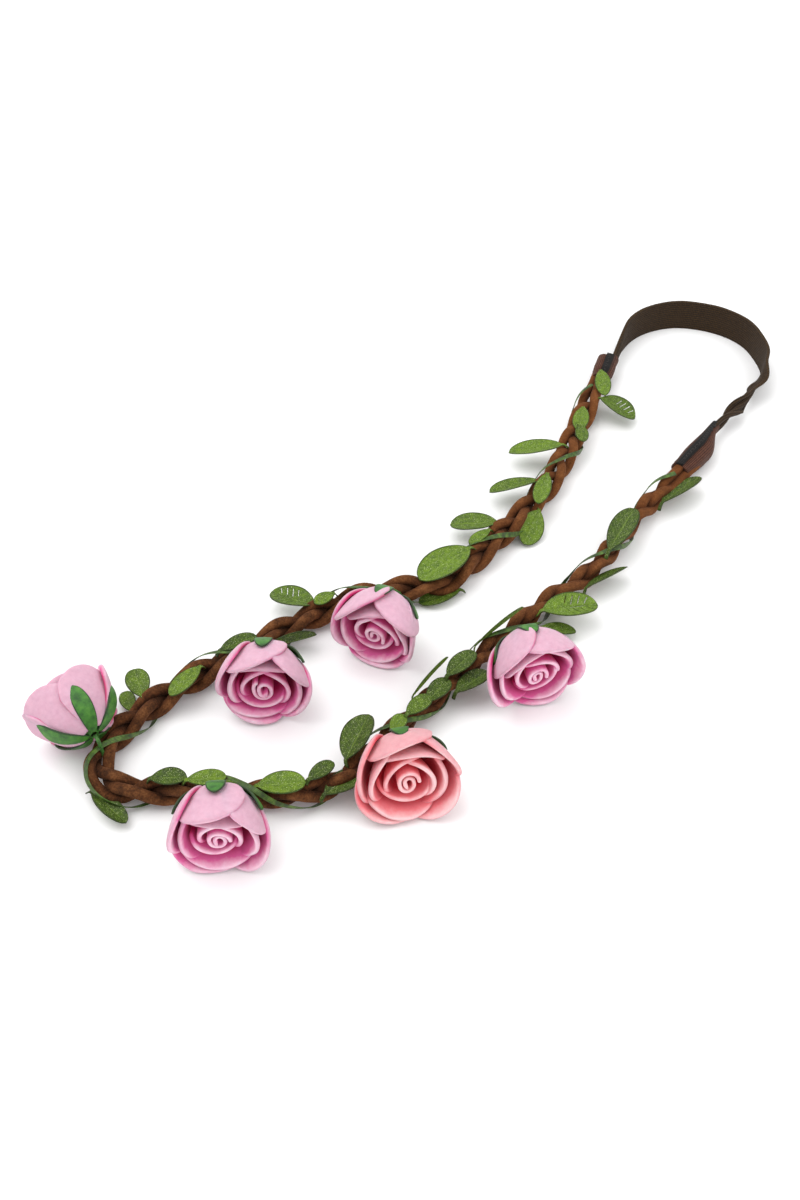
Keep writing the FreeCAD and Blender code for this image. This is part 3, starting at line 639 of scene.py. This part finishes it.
# ------------------------------------------------------------------ the vine and its leaves
@dataclass
class Vine:
    """Flat satin ribbon wound round the plait, creased and turned here and there."""

    route: Route
    plait: Plait
    turns: int = 10
    start_angle: float = math.radians(100.0)
    ends: float = 16.0
    width: float = 1.7
    thickness: float = 0.28
    lift: float = 0.42
    near_pinch: float = 0.75

    def centre(self, s: Array) -> tuple[Array, Array]:
        """Ribbon's middle line and its outward direction: a turn on a rounded box round the plait."""
        share = (s - self.ends) / (self.route.length - 2.0 * self.ends)
        angle = self.start_angle + TURN * self.turns * share
        cos, sin = np.cos(angle), np.sin(angle)
        bulge = (np.abs(cos) ** 2.6 + np.abs(sin) ** 2.6) ** (-1.0 / 2.6)
        wide = self.plait.half_width + self.plait.strand_radius + self.lift
        wide = wide - self.near_pinch * self.plait.narrowing(s)
        high = self.plait.half_height + self.plait.strand_radius + self.lift
        point, _, side = self.route.frame(s)
        across, rise = (wide * bulge * cos)[:, None], (high * bulge * sin)[:, None]
        outward = unit(side * cos[:, None] + UP * sin[:, None])
        return point + side * across + UP * rise, outward

    def build(self, finishes: Finishes) -> None:
        """Sweep a flat rounded section along the winding."""
        rows, columns = 1500, 16
        s = np.linspace(self.ends, self.route.length - self.ends, rows)
        centre, outward = self.centre(s)
        crease = Ripple(5, 6)
        width = self.width * (0.82 + 0.22 * crease(s / 5.0, 0.0 * s))
        around = np.linspace(0.0, TURN, columns, endpoint=False)
        flat = 0.5 * width[:, None] * np.sign(np.cos(around)) * np.abs(np.cos(around)) ** 0.7
        curl = 0.30 * (flat / (0.5 * self.width)) ** 2 * crease(s[:, None] / 7.0, 1.3 + 0.0 * flat)
        thin = 0.5 * self.thickness * np.sin(around)[None, :] + curl
        twist = (0.5 * crease(s / 11.0, 2.0 + 0.0 * s))[:, None]
        outline = np.stack([thin * np.cos(twist) - flat * np.sin(twist),
                            flat * np.cos(twist) + thin * np.sin(twist)], -1)
        rings = sweep(centre, outline, outward)
        rings[..., 2] = np.maximum(rings[..., 2], 0.06)
        uv = np.stack(np.broadcast_arrays(s[:, None], flat), -1)
        surface = Surface(rings.reshape(-1, 3), grid_faces(rows, columns, True)[:, ::-1], uv.reshape(-1, 2))
        make_piece("vine_ribbon", surface, finishes.ribbon, "band", "vine_stem")


@dataclass(frozen=True)
class LeafPlate:
    """A flat CAD leaf: where it starts, its axes and its size in millimetres."""

    base: Array
    along: Array
    across: Array
    up: Array
    length: float
    width: float


def islands(points: Array, faces: Array) -> list[Array]:
    """Separate solids of a mesh, as point lists.

    Points at one place count as one. Every point takes the lowest label among its face
    neighbours, over and over, until nothing changes.
    """
    _, same = np.unique(np.round(points, 3), axis=0, return_inverse=True)
    same = same.ravel()
    label = np.arange(same.max() + 1)
    corners = same[faces]
    while True:
        lowest = label[corners].min(axis=1)
        fresh = label.copy()
        for k in range(corners.shape[1]):
            np.minimum.at(fresh, corners[:, k], lowest)
        if (fresh == label).all():
            break
        label = fresh
    return [points[label[same] == value] for value in np.unique(label)]


# A leaf points away from the plait if its ends lie this much unequally far from it.
CLEAR_GAP = 2.0
# On the far side behind the front bend, between these X and beyond this Y, leaves point back.
BACKWARD_X = (-111.7, -55.7)
BACKWARD_Y = 13.3


def leaf_plates(node: str, route: Route) -> list[LeafPlate]:
    """Read the plates of one CAD sprig, in order along the plait.

    The long axis of a plate's points is the leaf's length and the short one its normal. The
    tip is the end farther from the plait. A leaf that lies along the plait points the way the
    vine grows: on from both joins, and back from the front bend on the far side.
    """
    mesh = bpy.data.objects[node].data
    flat = np.empty(len(mesh.vertices) * 3)
    mesh.vertices.foreach_get("co", flat)
    mesh.calc_loop_triangles()
    corners = np.empty(len(mesh.loop_triangles) * 3, dtype=np.int64)
    mesh.loop_triangles.foreach_get("vertices", corners)
    plates = []
    for cloud in islands(flat.reshape(-1, 3) / MM, corners.reshape(-1, 3)):
        middle = 0.5 * (cloud.min(0) + cloud.max(0))
        _, _, axes = np.linalg.svd(cloud - cloud.mean(0), full_matrices=False)
        along, across, up = axes
        up = up if up[2] >= 0.0 else -up
        start, stop = (cloud @ along).min(), (cloud @ along).max()
        length, width = stop - start, (cloud @ across).max() - (cloud @ across).min()
        middle = middle + along * (0.5 * (start + stop) - middle @ along)
        ends = [middle - along * 0.5 * length, middle + along * 0.5 * length]
        (s0, gap0), (s1, gap1) = (route.nearest(end) for end in ends)
        backward = BACKWARD_X[0] < middle[0] < BACKWARD_X[1] and middle[1] > BACKWARD_Y
        forward = gap1 > gap0 if abs(gap1 - gap0) > CLEAR_GAP else (s1 > s0) != backward
        if not forward:
            along, ends = -along, ends[::-1]
        plates.append(LeafPlate(ends[0], along, np.cross(up, along), up, length, width))
    return sorted(plates, key=lambda plate: route.nearest(plate.base)[0])


@dataclass
class Leaf:
    """A cut cloth leaf: cupped, drooping and slightly twisted, on a short folded stalk."""

    plate: LeafPlate
    tone: Tone
    seed: int
    cup: float = 0.20
    droop: float = 0.06
    twist: float = 0.25
    slits: bool = False
    rows: int = 34
    columns: int = 17

    def surface(self) -> Surface:
        """The leaf's sheet on a grid.

        The half width is a product of powers of the distances to the base and the tip, never
        less than the stalk's. Height is the cup across, minus the droop along, plus ripples.
        """
        stalk = 0.12
        if self.slits:
            self.rows, self.columns = 96, 65
        t = np.linspace(-stalk, 1.0, self.rows)[:, None]
        q = np.linspace(-1.0, 1.0, self.columns)[None, :]
        inside = np.clip(t, 0.0, 1.0)
        shape = inside ** 0.72 * (1.0 - inside) ** 0.56
        shape = shape / 0.4115
        half = np.maximum(0.5 * self.plate.width * shape, np.where(t < 0.5, 0.55, 0.0))
        wave = Ripple(self.seed)
        x = self.plate.length * t + 0.0 * q
        y = half * q
        z = self.cup * half * q ** 2 - self.droop * self.plate.length * inside ** 2
        z = z - 1.6 * np.clip(-t / stalk, 0.0, 1.0) ** 1.5 + 0.045 * half * wave(7.0 * t, 3.0 * q)
        z = z - 0.10 * half * np.exp(-(q / 0.10) ** 2)
        turn = self.twist * wave(1.0, 2.0) * (inside - 0.2)
        y, z = y * np.cos(turn) - z * np.sin(turn), y * np.sin(turn) + z * np.cos(turn)
        place = (self.plate.base + x[..., None] * self.plate.along + y[..., None] * self.plate.across
                 + z[..., None] * self.plate.up)
        place[..., 2] = np.maximum(place[..., 2], 0.25)
        faces = grid_faces(self.rows, self.columns)
        if self.slits:
            faces = faces[~self._cut(t, q)]
        uv = np.stack(np.broadcast_arrays(t, q), -1).reshape(-1, 2)
        tone = np.full(place.shape[:2], self.tone.value)
        return Surface(place.reshape(-1, 3), faces, uv, {"tone": tone.ravel()})

    def _cut(self, t: Array, q: Array) -> Array:
        """Faces removed for the vein slits near the tip: thin slanted lines from the midrib."""
        tm = 0.5 * (t[1:, 0] + t[:-1, 0])[:, None]
        qm = 0.5 * (q[0, 1:] + q[0, :-1])[None, :]
        line = np.abs(((tm - 0.16 * np.abs(qm)) * 8.0 + 0.5) % 1.0 - 0.5) < 0.085
        side = line & (np.abs(qm) > 0.16) & (np.abs(qm) < 0.78) & (tm > 0.42) & (tm < 0.90)
        spine = (np.abs(qm) < 0.035) & (tm > 0.50) & (tm < 0.86)
        return (side | spine).ravel()


class Foliage:
    """All leaves of the vine, one object for each CAD sprig."""

    slit_sprigs = ("leaf_sprig_01", "leaf_sprig_06", "leaf_sprig_14")
    dark_sprigs = ("leaf_sprig_07", "leaf_sprig_09", "leaf_sprig_11", "leaf_sprig_13", "leaf_sprig_15")
    # Beside rose e a sprig leans away, so that the rose can nod past it.
    leaning_sprigs = {"leaf_sprig_11": (0.8, 1.0, 0.0)}

    def __init__(self, route: Route) -> None:
        self.route = route

    def build(self, finishes: Finishes, nodes: dict[str, bpy.types.Object]) -> None:
        """Replace every flat CAD leaf with a shaped one in the same place."""
        for node in sorted(name for name in nodes if name.startswith("leaf_sprig")):
            number = int(node[-2:])
            plates = leaf_plates(node, self.route)
            widest = max(plates, key=lambda plate: plate.width)
            leaves = []
            for index, plate in enumerate(plates):
                seed = number * 10 + index
                tone = Tone.DARK if node in self.dark_sprigs else (Tone.LIGHT, Tone.MIDDLE)[seed % 2]
                lean = np.array(self.leaning_sprigs.get(node, (0.0, 0.0, 0.0)))
                plate = replace(plate, base=plate.base + lean)
                leaves.append(Leaf(
                    plate, tone, seed, cup=0.14 + 0.04 * (seed % 4), droop=0.02 + 0.02 * (seed % 3),
                    slits=plate.width == widest.width and node in self.slit_sprigs).surface())
            make_piece("leaves_%02d" % number, Surface.joined(leaves), finishes.leaf, "band",
                       node, "leaf", thickness_mm=0.28)


# ------------------------------------------------------------------ the roses
@dataclass(frozen=True)
class PetalRing:
    """One ring of overlapping foam petals; lengths in millimetres from the wire's tip."""

    count: int
    foot: tuple[float, float]
    belly: tuple[float, float]
    shoulder: tuple[float, float]
    rim: tuple[float, float]
    spread: float
    thickness: float
    pale_back: bool = False
    flare: float = 0.3
    drop: float = 0.15
    spiral: float = 0.06
    flat: float = 0.5
    close: float = 0.0
    sink: float = 0.0


OUTER = PetalRing(5, (2.4, 0.9), (6.9, 2.3), (10.3, 7.6), (10.2, 15.0), 1.46, 1.15, pale_back=True,
                  drop=0.24, close=1.6)
MIDDLE = PetalRing(4, (2.0, 3.2), (5.7, 4.4), (8.0, 8.8), (7.7, 14.2), 1.46, 1.1, pale_back=True,
                   drop=0.19, flare=0.7, close=0.7, sink=0.7)
INNER = PetalRing(3, (1.6, 4.8), (3.8, 6.2), (4.8, 9.6), (4.4, 13.2), 1.45, 1.05, drop=0.12,
                  spiral=0.14, flat=0.4, sink=1.1)

# How far each rose has opened, 0 for a closed one.
OPENNESS = {"a": 0.1, "b": 0.8, "c": 0.3, "d": 0.1, "e": 1.0, "f": 0.7}


def bezier(knots: tuple, w: Array) -> tuple[Array, Array]:
    """Radius and height of a cubic curve through its four control points at w from 0 to 1."""
    weights = ((1 - w) ** 3, 3 * (1 - w) ** 2 * w, 3 * (1 - w) * w ** 2, w ** 3)
    return (sum(k[0] * b for k, b in zip(knots, weights)),
            sum(k[1] * b for k, b in zip(knots, weights)))


def shell(place: Array, thickness: float, centre: Array, values: dict[str, Array]) -> Surface:
    """A closed sheet of one thickness on both sides of a grid of points.

    The two skins lie half a thickness along the grid's normal and against it, and a strip of
    faces joins them all round. The value "face" is 1 on the skin nearer to the centre line,
    and the other values are repeated on both skins.
    """
    rows, columns = place.shape[:2]
    along_columns = np.gradient(place, axis=1)
    along_rows = np.gradient(place, axis=0)
    normal = unit(np.cross(along_columns, along_rows))
    skins = np.concatenate([(place + normal * 0.5 * thickness).reshape(-1, 3),
                            (place - normal * 0.5 * thickness).reshape(-1, 3)])
    count = rows * columns
    index = np.arange(count).reshape(rows, columns)
    border = np.concatenate([index[0, :-1], index[:-1, -1], index[-1, :0:-1], index[:0:-1, 0]])
    following = np.roll(border, -1)
    faces = grid_faces(rows, columns)
    strip = np.stack([following, border, border + count, following + count], -1)
    first_is_inner = float(((centre - place) * normal).sum(-1).mean()) > 0.0
    face = np.repeat([1.0, 0.0] if first_is_inner else [0.0, 1.0], count)
    both = {name: np.tile(value.ravel(), 2) for name, value in values.items()}
    return Surface(skins, np.concatenate([faces, faces[:, ::-1] + count, strip]), None,
                   {**both, "face": face})


@dataclass
class Rose:
    """A foam rose: three rings of petals round a rolled bud, held in a five-pointed calyx."""

    letter: str
    neck: Array
    axis: Array
    foam: Material
    slot: str
    seed: int
    openness: float = 0.0

    def __post_init__(self) -> None:
        self.rng = np.random.default_rng(self.seed)
        self.level = unit(np.cross(UP, self.axis))
        self.upward = np.cross(self.level, self.axis)
        if self.upward[2] < 0.0:
            self.upward = -self.upward

    def world(self, radius: Array, angle: Array, height: Array, shift: tuple = (0.0, 0.0)) -> Array:
        """Places from a radius, an angle from the upward side and a height along the axis.

        What would come near the floor or below it is pressed into a thin layer above it.
        """
        grow = np.clip(height / 14.0, 0.0, 1.0)
        x, y = radius * np.cos(angle) + shift[0] * grow, radius * np.sin(angle) + shift[1] * grow
        place = (self.neck + x[..., None] * self.upward + y[..., None] * self.level
                 + height[..., None] * self.axis)
        low = place[..., 2]
        place[..., 2] = np.where(low < 1.6, 0.75 + 0.85 * np.exp((low - 1.6) / 0.85), low)
        return place

    def petals(self, ring: PetalRing, turn: float) -> Surface:
        """The ring's petals as sheets.

        Each follows one cubic curve from the foot over the belly and shoulder to the rim,
        wraps part of the way round, and leans out at one edge and in at the other.
        """
        rows, columns, parts = 17, 21, []
        for number in range(ring.count):
            u = np.linspace(-1.0, 1.0, columns)[None, :]
            v = np.linspace(0.0, 1.0, rows)[:, None]
            lift, reach, lean, phase = self.rng.uniform(-1.0, 1.0, 4)
            middle = turn + TURN * number / ring.count + 0.10 * phase
            outline = 1.0 - (ring.drop + 0.04 * lift) * np.abs(u - 0.15 * lean) ** 2.4
            outline = outline - 0.16 * np.clip((np.abs(u) - 0.7) / 0.3, 0.0, 1.0) ** 2
            outline = outline * (1.0 + 0.04 * lift + 0.03 * lean * u)
            w = v * outline
            radius, height = bezier((ring.foot, ring.belly, ring.shoulder, ring.rim), w)
            radius = radius * (1.0 + ring.spiral * u * np.clip(v * 1.5, 0.0, 1.0) + 0.04 * reach * v)
            closing = ring.close * (1.0 - 0.6 * self.openness) * math.cos(middle)
            radius = radius + (0.9 * self.openness - closing) * w ** 2
            lip = np.clip((w - 0.55) / 0.45, 0.0, None) ** 2
            radius = radius + ring.flare * (1.0 + 0.8 * reach) * lip * (1.0 + 0.5 * lean * u)
            radius = radius + 0.25 * np.sin(3.4 * u + 3.0 * phase) * v ** 2
            half = ring.spread * math.pi / ring.count * (0.55 + 0.45 * smoothstep(2.2 * v))
            half = half * (1.0 - 0.12 * np.clip((w - 0.8) / 0.2, 0.0, 1.0) ** 2)
            radius = radius / np.maximum(np.cos(ring.flat * half * u), 0.6)
            place = self.world(radius, middle + half * u + 0.0 * v, height, (-ring.sink, 0.0))
            centre = self.neck + self.axis * height[..., None]
            sheet = shell(place, ring.thickness, centre, {"rim": w + 0.0 * u})
            # Petals with no pale back carry the graded face colour on both skins, as painted recess shade.
            if not ring.pale_back:
                sheet.values["face"] = np.ones_like(sheet.values["face"])
            parts.append(sheet)
        return Surface.joined(parts)

    def bud(self) -> Surface:
        """The rolled heart: one strip wound round itself, higher and looser outside."""
        rows, columns, turns = 12, 72, 1.7
        v = np.linspace(0.0, 1.0, rows)[:, None]
        t = np.linspace(0.0, 1.0, columns)[None, :]
        angle = TURN * turns * t + self.rng.uniform(0.0, 6.0)
        squeeze = 1.0 + 0.16 * np.cos(2.0 * angle)
        radius = (0.55 + 2.6 * t) * (0.66 + 0.34 * smoothstep(v * 1.6)) * squeeze
        top = 13.4 + 0.5 * np.sin(angle * 0.5 + 1.0) - 0.6 * t ** 2
        height = 6.6 + (top - 6.6) * v
        place = self.world(radius, angle + 0.0 * v, height, (-1.4, 0.0))
        centre = self.neck + self.axis * height[..., None]
        sheet = shell(place, 0.95, centre, {"rim": 0.22 + 0.76 * v + 0.0 * t})
        # Both skins of the bud carry the graded colour, as painted recess shade.
        sheet.values["face"] = np.ones_like(sheet.values["face"])
        return sheet

    def calyx(self) -> Surface:
        """Five rounded sepals that hug the outer petals, their tips curling away, on a small cup."""
        rows, columns, parts = 22, 11, []
        for number in range(5):
            u = np.linspace(-1.0, 1.0, columns)[None, :]
            v = np.linspace(0.0, 1.0, rows)[:, None]
            lift, lean, sway = self.rng.uniform(-1.0, 1.0, 3)
            tip = (9.9 + 0.5 * lift, 8.6 + 0.9 * lean)
            radius, height = bezier(((0.9, 0.3), (5.8, 0.9), (9.2, 4.2), tip), v)
            width = 3.1 * np.clip(v + 0.06, 0.0, 1.0) ** 0.5 * (1.0 - v ** 3.4) ** 0.6 + 0.05
            radius = radius + 0.05 * width * u ** 2 + 0.45
            angle = TURN * number / 5 + u * width / np.maximum(radius, 2.4) + 0.10 * sway
            place = self.world(radius + 0.0 * u, angle + 0.0 * v, height + 0.0 * u)
            edge = np.maximum(np.abs(u) + 0.0 * v, v ** 6 + 0.0 * u)
            parts.append(Surface(place.reshape(-1, 3), grid_faces(rows, columns), None,
                                 {"edge": edge.ravel()}))
        v = np.linspace(0.0, 1.0, 8)[:, None]
        angle = np.linspace(0.0, TURN, 29)[None, :]
        place = self.world(1.0 + 1.7 * v ** 1.4 + 0.0 * angle, angle + 0.0 * v, 0.3 + 1.6 * v + 0.0 * angle)
        parts.append(Surface(place.reshape(-1, 3), grid_faces(8, 29), None,
                             {"edge": np.zeros(place.shape[0] * place.shape[1])}))
        return Surface.joined(parts)

    def build(self, finishes: Finishes) -> None:
        """Make the pieces; each replaces its own CAD node."""
        turn = math.radians(36.0) + self.rng.uniform(-0.5, 0.5)
        body = "rose_%s" % self.letter
        layers = (("outer_petals", self.petals(OUTER, turn)),
                  ("middle_petals", self.petals(MIDDLE, turn + 0.7)),
                  ("inner_petals", self.petals(INNER, turn + 0.2)),
                  ("bud", self.bud()))
        for name, surface in layers:
            make_piece("%s_foam_%s" % (body, name), surface, self.foam, body,
                       "%s_%s" % (body, name), smooth_levels=1)
        make_piece("%s_felt_calyx" % body, self.calyx(), finishes.calyx, body,
                   "%s_calyx" % body, thickness_mm=0.5, smooth_levels=1)


def roses_of(frame: dict, finishes: Finishes) -> list[Rose]:
    """The six roses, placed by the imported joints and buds.

    A rose's neck is its joint's place. Its heading is level and square to the hinge, and its
    pitch comes from how far the bud stands above the neck.
    """
    roses = []
    for joint in frame["joints"]:
        letter = joint["child"][-1]
        neck = np.array(joint["pos_m"]) / MM
        hinge = np.array(joint["axis"], dtype=float)
        low, high = (np.array(corner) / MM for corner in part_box("rose_%s_bud" % letter))
        reach = 0.5 * (low + high) - neck
        heading = np.array([-hinge[1], hinge[0], 0.0])
        heading = heading * np.sign(heading @ reach)
        axis = unit(heading * (reach @ heading) + np.array([0.0, 0.0, reach[2]]))
        peach = letter == "e"
        roses.append(Rose(letter, neck, axis, finishes.peach if peach else finishes.pink,
                          "peach_foam" if peach else "pink_foam", ord(letter), OPENNESS[letter]))
    return roses


# ------------------------------------------------------------------ elastic, wraps, stitches
@dataclass
class ElasticBack:
    """Woven elastic strip on its edge: full width at the back, gathered in folds at both joins."""

    route: Route
    width: float = 10.0
    neck: float = 4.4
    height: float = 5.05
    neck_height: float = 4.2
    thickness: float = 0.9
    near_start: float = 45.0
    near_taper: float = 15.0
    far_start: float = 11.0
    far_taper: float = 22.0

    def build(self, finishes: Finishes) -> None:
        """Make the strip as a sheet with a wall, wider in the middle and pleated at its ends."""
        rows, columns = 420, 41
        s = np.linspace(0.0, self.route.length, rows)
        point, _, side = self.route.frame(s)
        near = smoothstep((s - self.near_start) / self.near_taper)
        far = smoothstep((self.route.length - s - self.far_start) / self.far_taper)
        share = np.minimum(near, far)
        width = self.neck + (self.width - self.neck) * share
        q = np.linspace(-0.5, 0.5, columns)[None, :]
        wave = Ripple(77, 6)
        pleat = 0.55 * (1.0 - share)[:, None] * np.sin(TURN * 2.0 * q + 0.6)
        roll = 0.5 * wave(s[:, None] / 14.0, 2.0 * q) * (0.35 + share[:, None]) + pleat
        lean = 0.10 * np.sin(s / 21.0)[:, None] * q * width[:, None]
        middle = self.neck_height + (self.height - self.neck_height) * share
        # Half a turn of twist between the near wrap and the full width, then a slanted crease.
        twist = math.pi * smoothstep((s - 27.0) / 19.0) + 0.75 * np.exp(-((s - 53.0) / 4.5) ** 2)
        twist = twist[:, None]
        flat = roll + lean
        stand = width[:, None] * q
        rise = middle[:, None] + stand * np.cos(twist) + flat * np.sin(twist)
        rise = rise + 0.10 * wave(s[:, None] / 3.0, 0.0 * q)
        place = point[:, None] + side[:, None] * (flat * np.cos(twist) - stand * np.sin(twist))[..., None]
        place[..., 2] = np.maximum(rise, 0.05)
        uv = np.stack(np.broadcast_arrays(s[:, None], q * self.width), -1)
        surface = Surface(place.reshape(-1, 3), grid_faces(rows, columns), uv.reshape(-1, 2))
        piece = make_piece("woven_elastic", surface, finishes.elastic, "band", "elastic_band",
                           thickness_mm=self.thickness)


@dataclass
class EndWrap:
    """Elastic folded round the gathered strands and the elastic's end, sewn along the top."""

    side_name: str
    origin: Array
    outward: Array
    inward: Array
    length: float
    strand_share: float
    half_width: float = 2.8
    half_height: float = 2.6
    neck_width: float = 0.7
    neck_height: float = 1.5
    stitches: int = 9
    seam_start: float = 0.06
    seam_share: float = 0.88

    def section(self, t: Array) -> tuple[Array, Array, Array]:
        """Half width, half height and sideways shift along the wrap, from plait to elastic."""
        slim = 0.0 * t
        if self.strand_share < 1.0:
            slim = smoothstep((t - self.strand_share) / max(1.0 - self.strand_share, 1e-3))
        mouth = 0.78 + 0.22 * smoothstep(t / 0.35)
        wide = (self.half_width + (self.neck_width - self.half_width) * slim) * mouth
        high = (self.half_height + (self.neck_height - self.half_height) * slim) * mouth
        return wide, high, 2.5 * slim

    def place(self, x: Array, y: Array, z: Array) -> Array:
        """Places from distances along, sideways towards the loop's inside, and up."""
        return self.origin + x[..., None] * self.outward + y[..., None] * self.inward + z[..., None] * UP

    def build(self, finishes: Finishes) -> None:
        """Make the folded sleeve with an overlapping flap, and its seam."""
        rows, columns = 60, 64
        t = np.linspace(0.0, 1.0, rows)[:, None]
        a = np.linspace(0.0, TURN + 1.25, columns)[None, :]
        wide, high, shift = self.section(t)
        lap = 0.75 * smoothstep((a - 5.2) / 1.2)
        crumple = Ripple(len(self.side_name), 6)(9.0 * t, 2.0 * a)
        turn = a + 0.35
        cos, sin = np.cos(turn), np.sin(turn)
        square = (np.abs(cos) ** 2.8 + np.abs(sin) ** 2.8) ** (-1.0 / 2.8)
        y = (wide + lap + 0.18 * crumple) * square * cos + shift
        z = (high + lap + 0.18 * crumple) * square * sin
        x = self.length * t + 0.35 * crumple * np.where((t < 0.1) | (t > 0.9), 1.0, 0.0)
        place = self.place(x + 0.0 * a, y, z)
        # Painted shadow along the flap's end edge, standing for the gap under the fold.
        flap_edge_shadow = smoothstep((a - 6.75) / 0.15) + 0.0 * t
        uv = np.stack(np.broadcast_arrays(self.length * t, 4.0 * a), -1)
        surface = Surface(place.reshape(-1, 3), grid_faces(rows, columns), uv.reshape(-1, 2),
                          {"flap_edge_shadow": flap_edge_shadow.ravel()})
        make_piece("folded_wrap_%s" % self.side_name, surface, finishes.wrap, "band",
                   "end_wrap_%s" % self.side_name, thickness_mm=0.7)
        self._seam(finishes)

    def _seam(self, finishes: Finishes) -> None:
        """Zigzag thread over the flap: a thin tube that dips into the cloth at each turn."""
        rows, columns = self.stitches * 16, 8
        t = np.linspace(self.seam_start, self.seam_start + self.seam_share, rows)
        wide, high, shift = self.section(t)
        phase = TURN * self.stitches * (t - self.seam_start) / self.seam_share
        zig = 2.0 / math.pi * np.arcsin(np.sin(phase))
        rise = high + 0.85 + 0.25 * np.cos(math.pi * zig)
        centre = self.place(self.length * t, shift + 0.55 * wide * 0.6 + 0.75 * zig, rise)
        around = np.linspace(0.0, TURN, columns, endpoint=False)
        outline = np.stack([0.22 * np.cos(around), 0.22 * np.sin(around)], -1)[None]
        rings = sweep(centre, outline)
        surface = Surface(rings.reshape(-1, 3), grid_faces(rows, columns, True)[:, ::-1])
        make_piece("seam_thread_%s" % self.side_name, surface, finishes.thread, "band",
                   "stitching_%s" % self.side_name)


def end_wraps(plait: Route) -> list[EndWrap]:
    """Both wraps, set on the plait's end directions; the near one runs on along the elastic."""
    wraps = []
    for name, s, sign, length, overhang in (("left", 0.0, -1.0, 11.0, 3.0),
                                            ("right", plait.length, 1.0, 26.0, 15.0)):
        point, tangent, side = (v[0] for v in plait.frame(np.array([s])))
        outward = tangent * sign
        origin = point + outward * (overhang - length) + side * 0.1
        share = 1.0 if name == "left" else (length - overhang + 1.5) / length
        wraps.append(EndWrap(name, origin, outward, side, length, share,
                             stitches=4 if name == "left" else 9))
    return wraps


# ------------------------------------------------------------------ stage
@dataclass(frozen=True)
class Studio:
    """White paper, large soft lights and the camera above the front bend."""

    eye: tuple[float, float, float] = (-0.209335, -0.14004, 0.23841)
    heading: float = math.radians(41.0)
    pitch: float = math.radians(-46.0)
    lens: float = 36.21

    def build(self, finishes: Finishes) -> None:
        """Make the floor, the lights, the sky and the camera."""
        scene = bpy.context.scene
        half = 3.0
        mesh = bpy.data.meshes.new("paper")
        mesh.from_pydata([(-half, -half, 0.0), (half, -half, 0.0), (half, half, 0.0), (-half, half, 0.0)],
                         [], [(0, 1, 2, 3)])
        mesh.materials.append(finishes.floor)
        floor = bpy.data.objects.new("paper", mesh)
        scene.collection.objects.link(floor)

        world = bpy.data.worlds.new("studio")
        scene.world = world
        world.use_nodes = True
        sky = next(n for n in world.node_tree.nodes if n.type == "BACKGROUND")
        sky.inputs["Color"].default_value = (1.0, 1.0, 1.0, 1.0)
        sky.inputs["Strength"].default_value = 0.86

        self._light("key", (-0.25, 0.45, 0.95), 0.9, 5.5)
        self._light("fill", (0.35, -0.75, 0.80), 0.9, 3.0)
        self._light("top", (0.0, 0.0, 1.3), 1.4, 4.0)

        camera_data = bpy.data.cameras.new("camera")
        camera_data.lens = self.lens
        camera_data.sensor_width = 36.0
        camera_data.clip_start = 0.01
        camera = bpy.data.objects.new("camera", camera_data)
        scene.collection.objects.link(camera)
        camera.location = self.eye
        look = Vector((math.cos(self.pitch) * math.cos(self.heading),
                       math.cos(self.pitch) * math.sin(self.heading), math.sin(self.pitch)))
        camera.rotation_euler = look.to_track_quat("-Z", "Y").to_euler()
        scene.camera = camera
        scene.view_settings.view_transform = "Standard"

    @staticmethod
    def _light(name: str, place: tuple[float, float, float], size: float, power: float) -> None:
        """A square soft light aimed at the middle of the crown."""
        data = bpy.data.lights.new(name, "AREA")
        data.energy, data.size = power, size
        light = bpy.data.objects.new(name, data)
        bpy.context.scene.collection.objects.link(light)
        light.location = place
        light.rotation_euler = (-Vector(place)).to_track_quat("-Z", "Y").to_euler()


def main() -> None:
    """Load the frame, dress every node and stage the scene."""
    logging.basicConfig(level=logging.INFO, format="%(name)s: %(message)s")
    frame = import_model()
    finishes = Finishes()
    plait_route = Route("plait_route", PLAIT_ROUTE, PLAIT_HEIGHT)
    elastic_route = Route("elastic_route", ELASTIC_ROUTE, ELASTIC_HEIGHT)
    plait = Plait(plait_route)
    LOG.info("plait %.1f mm, elastic %.1f mm", plait_route.length, elastic_route.length)

    Foliage(plait_route).build(finishes, frame["nodes"])
    plait.build(finishes)
    Vine(plait_route, plait).build(finishes)
    ElasticBack(elastic_route).build(finishes)
    for wrap in end_wraps(plait_route):
        wrap.build(finishes)
    for rose in roses_of(frame, finishes):
        rose.build(finishes)
        stem = frame["nodes"]["rose_%s_stem" % rose.letter]
        stem.data.materials.clear()
        stem.data.materials.append(finishes.wire)
    Studio().build(finishes)


if __name__ == "__main__":
    main()
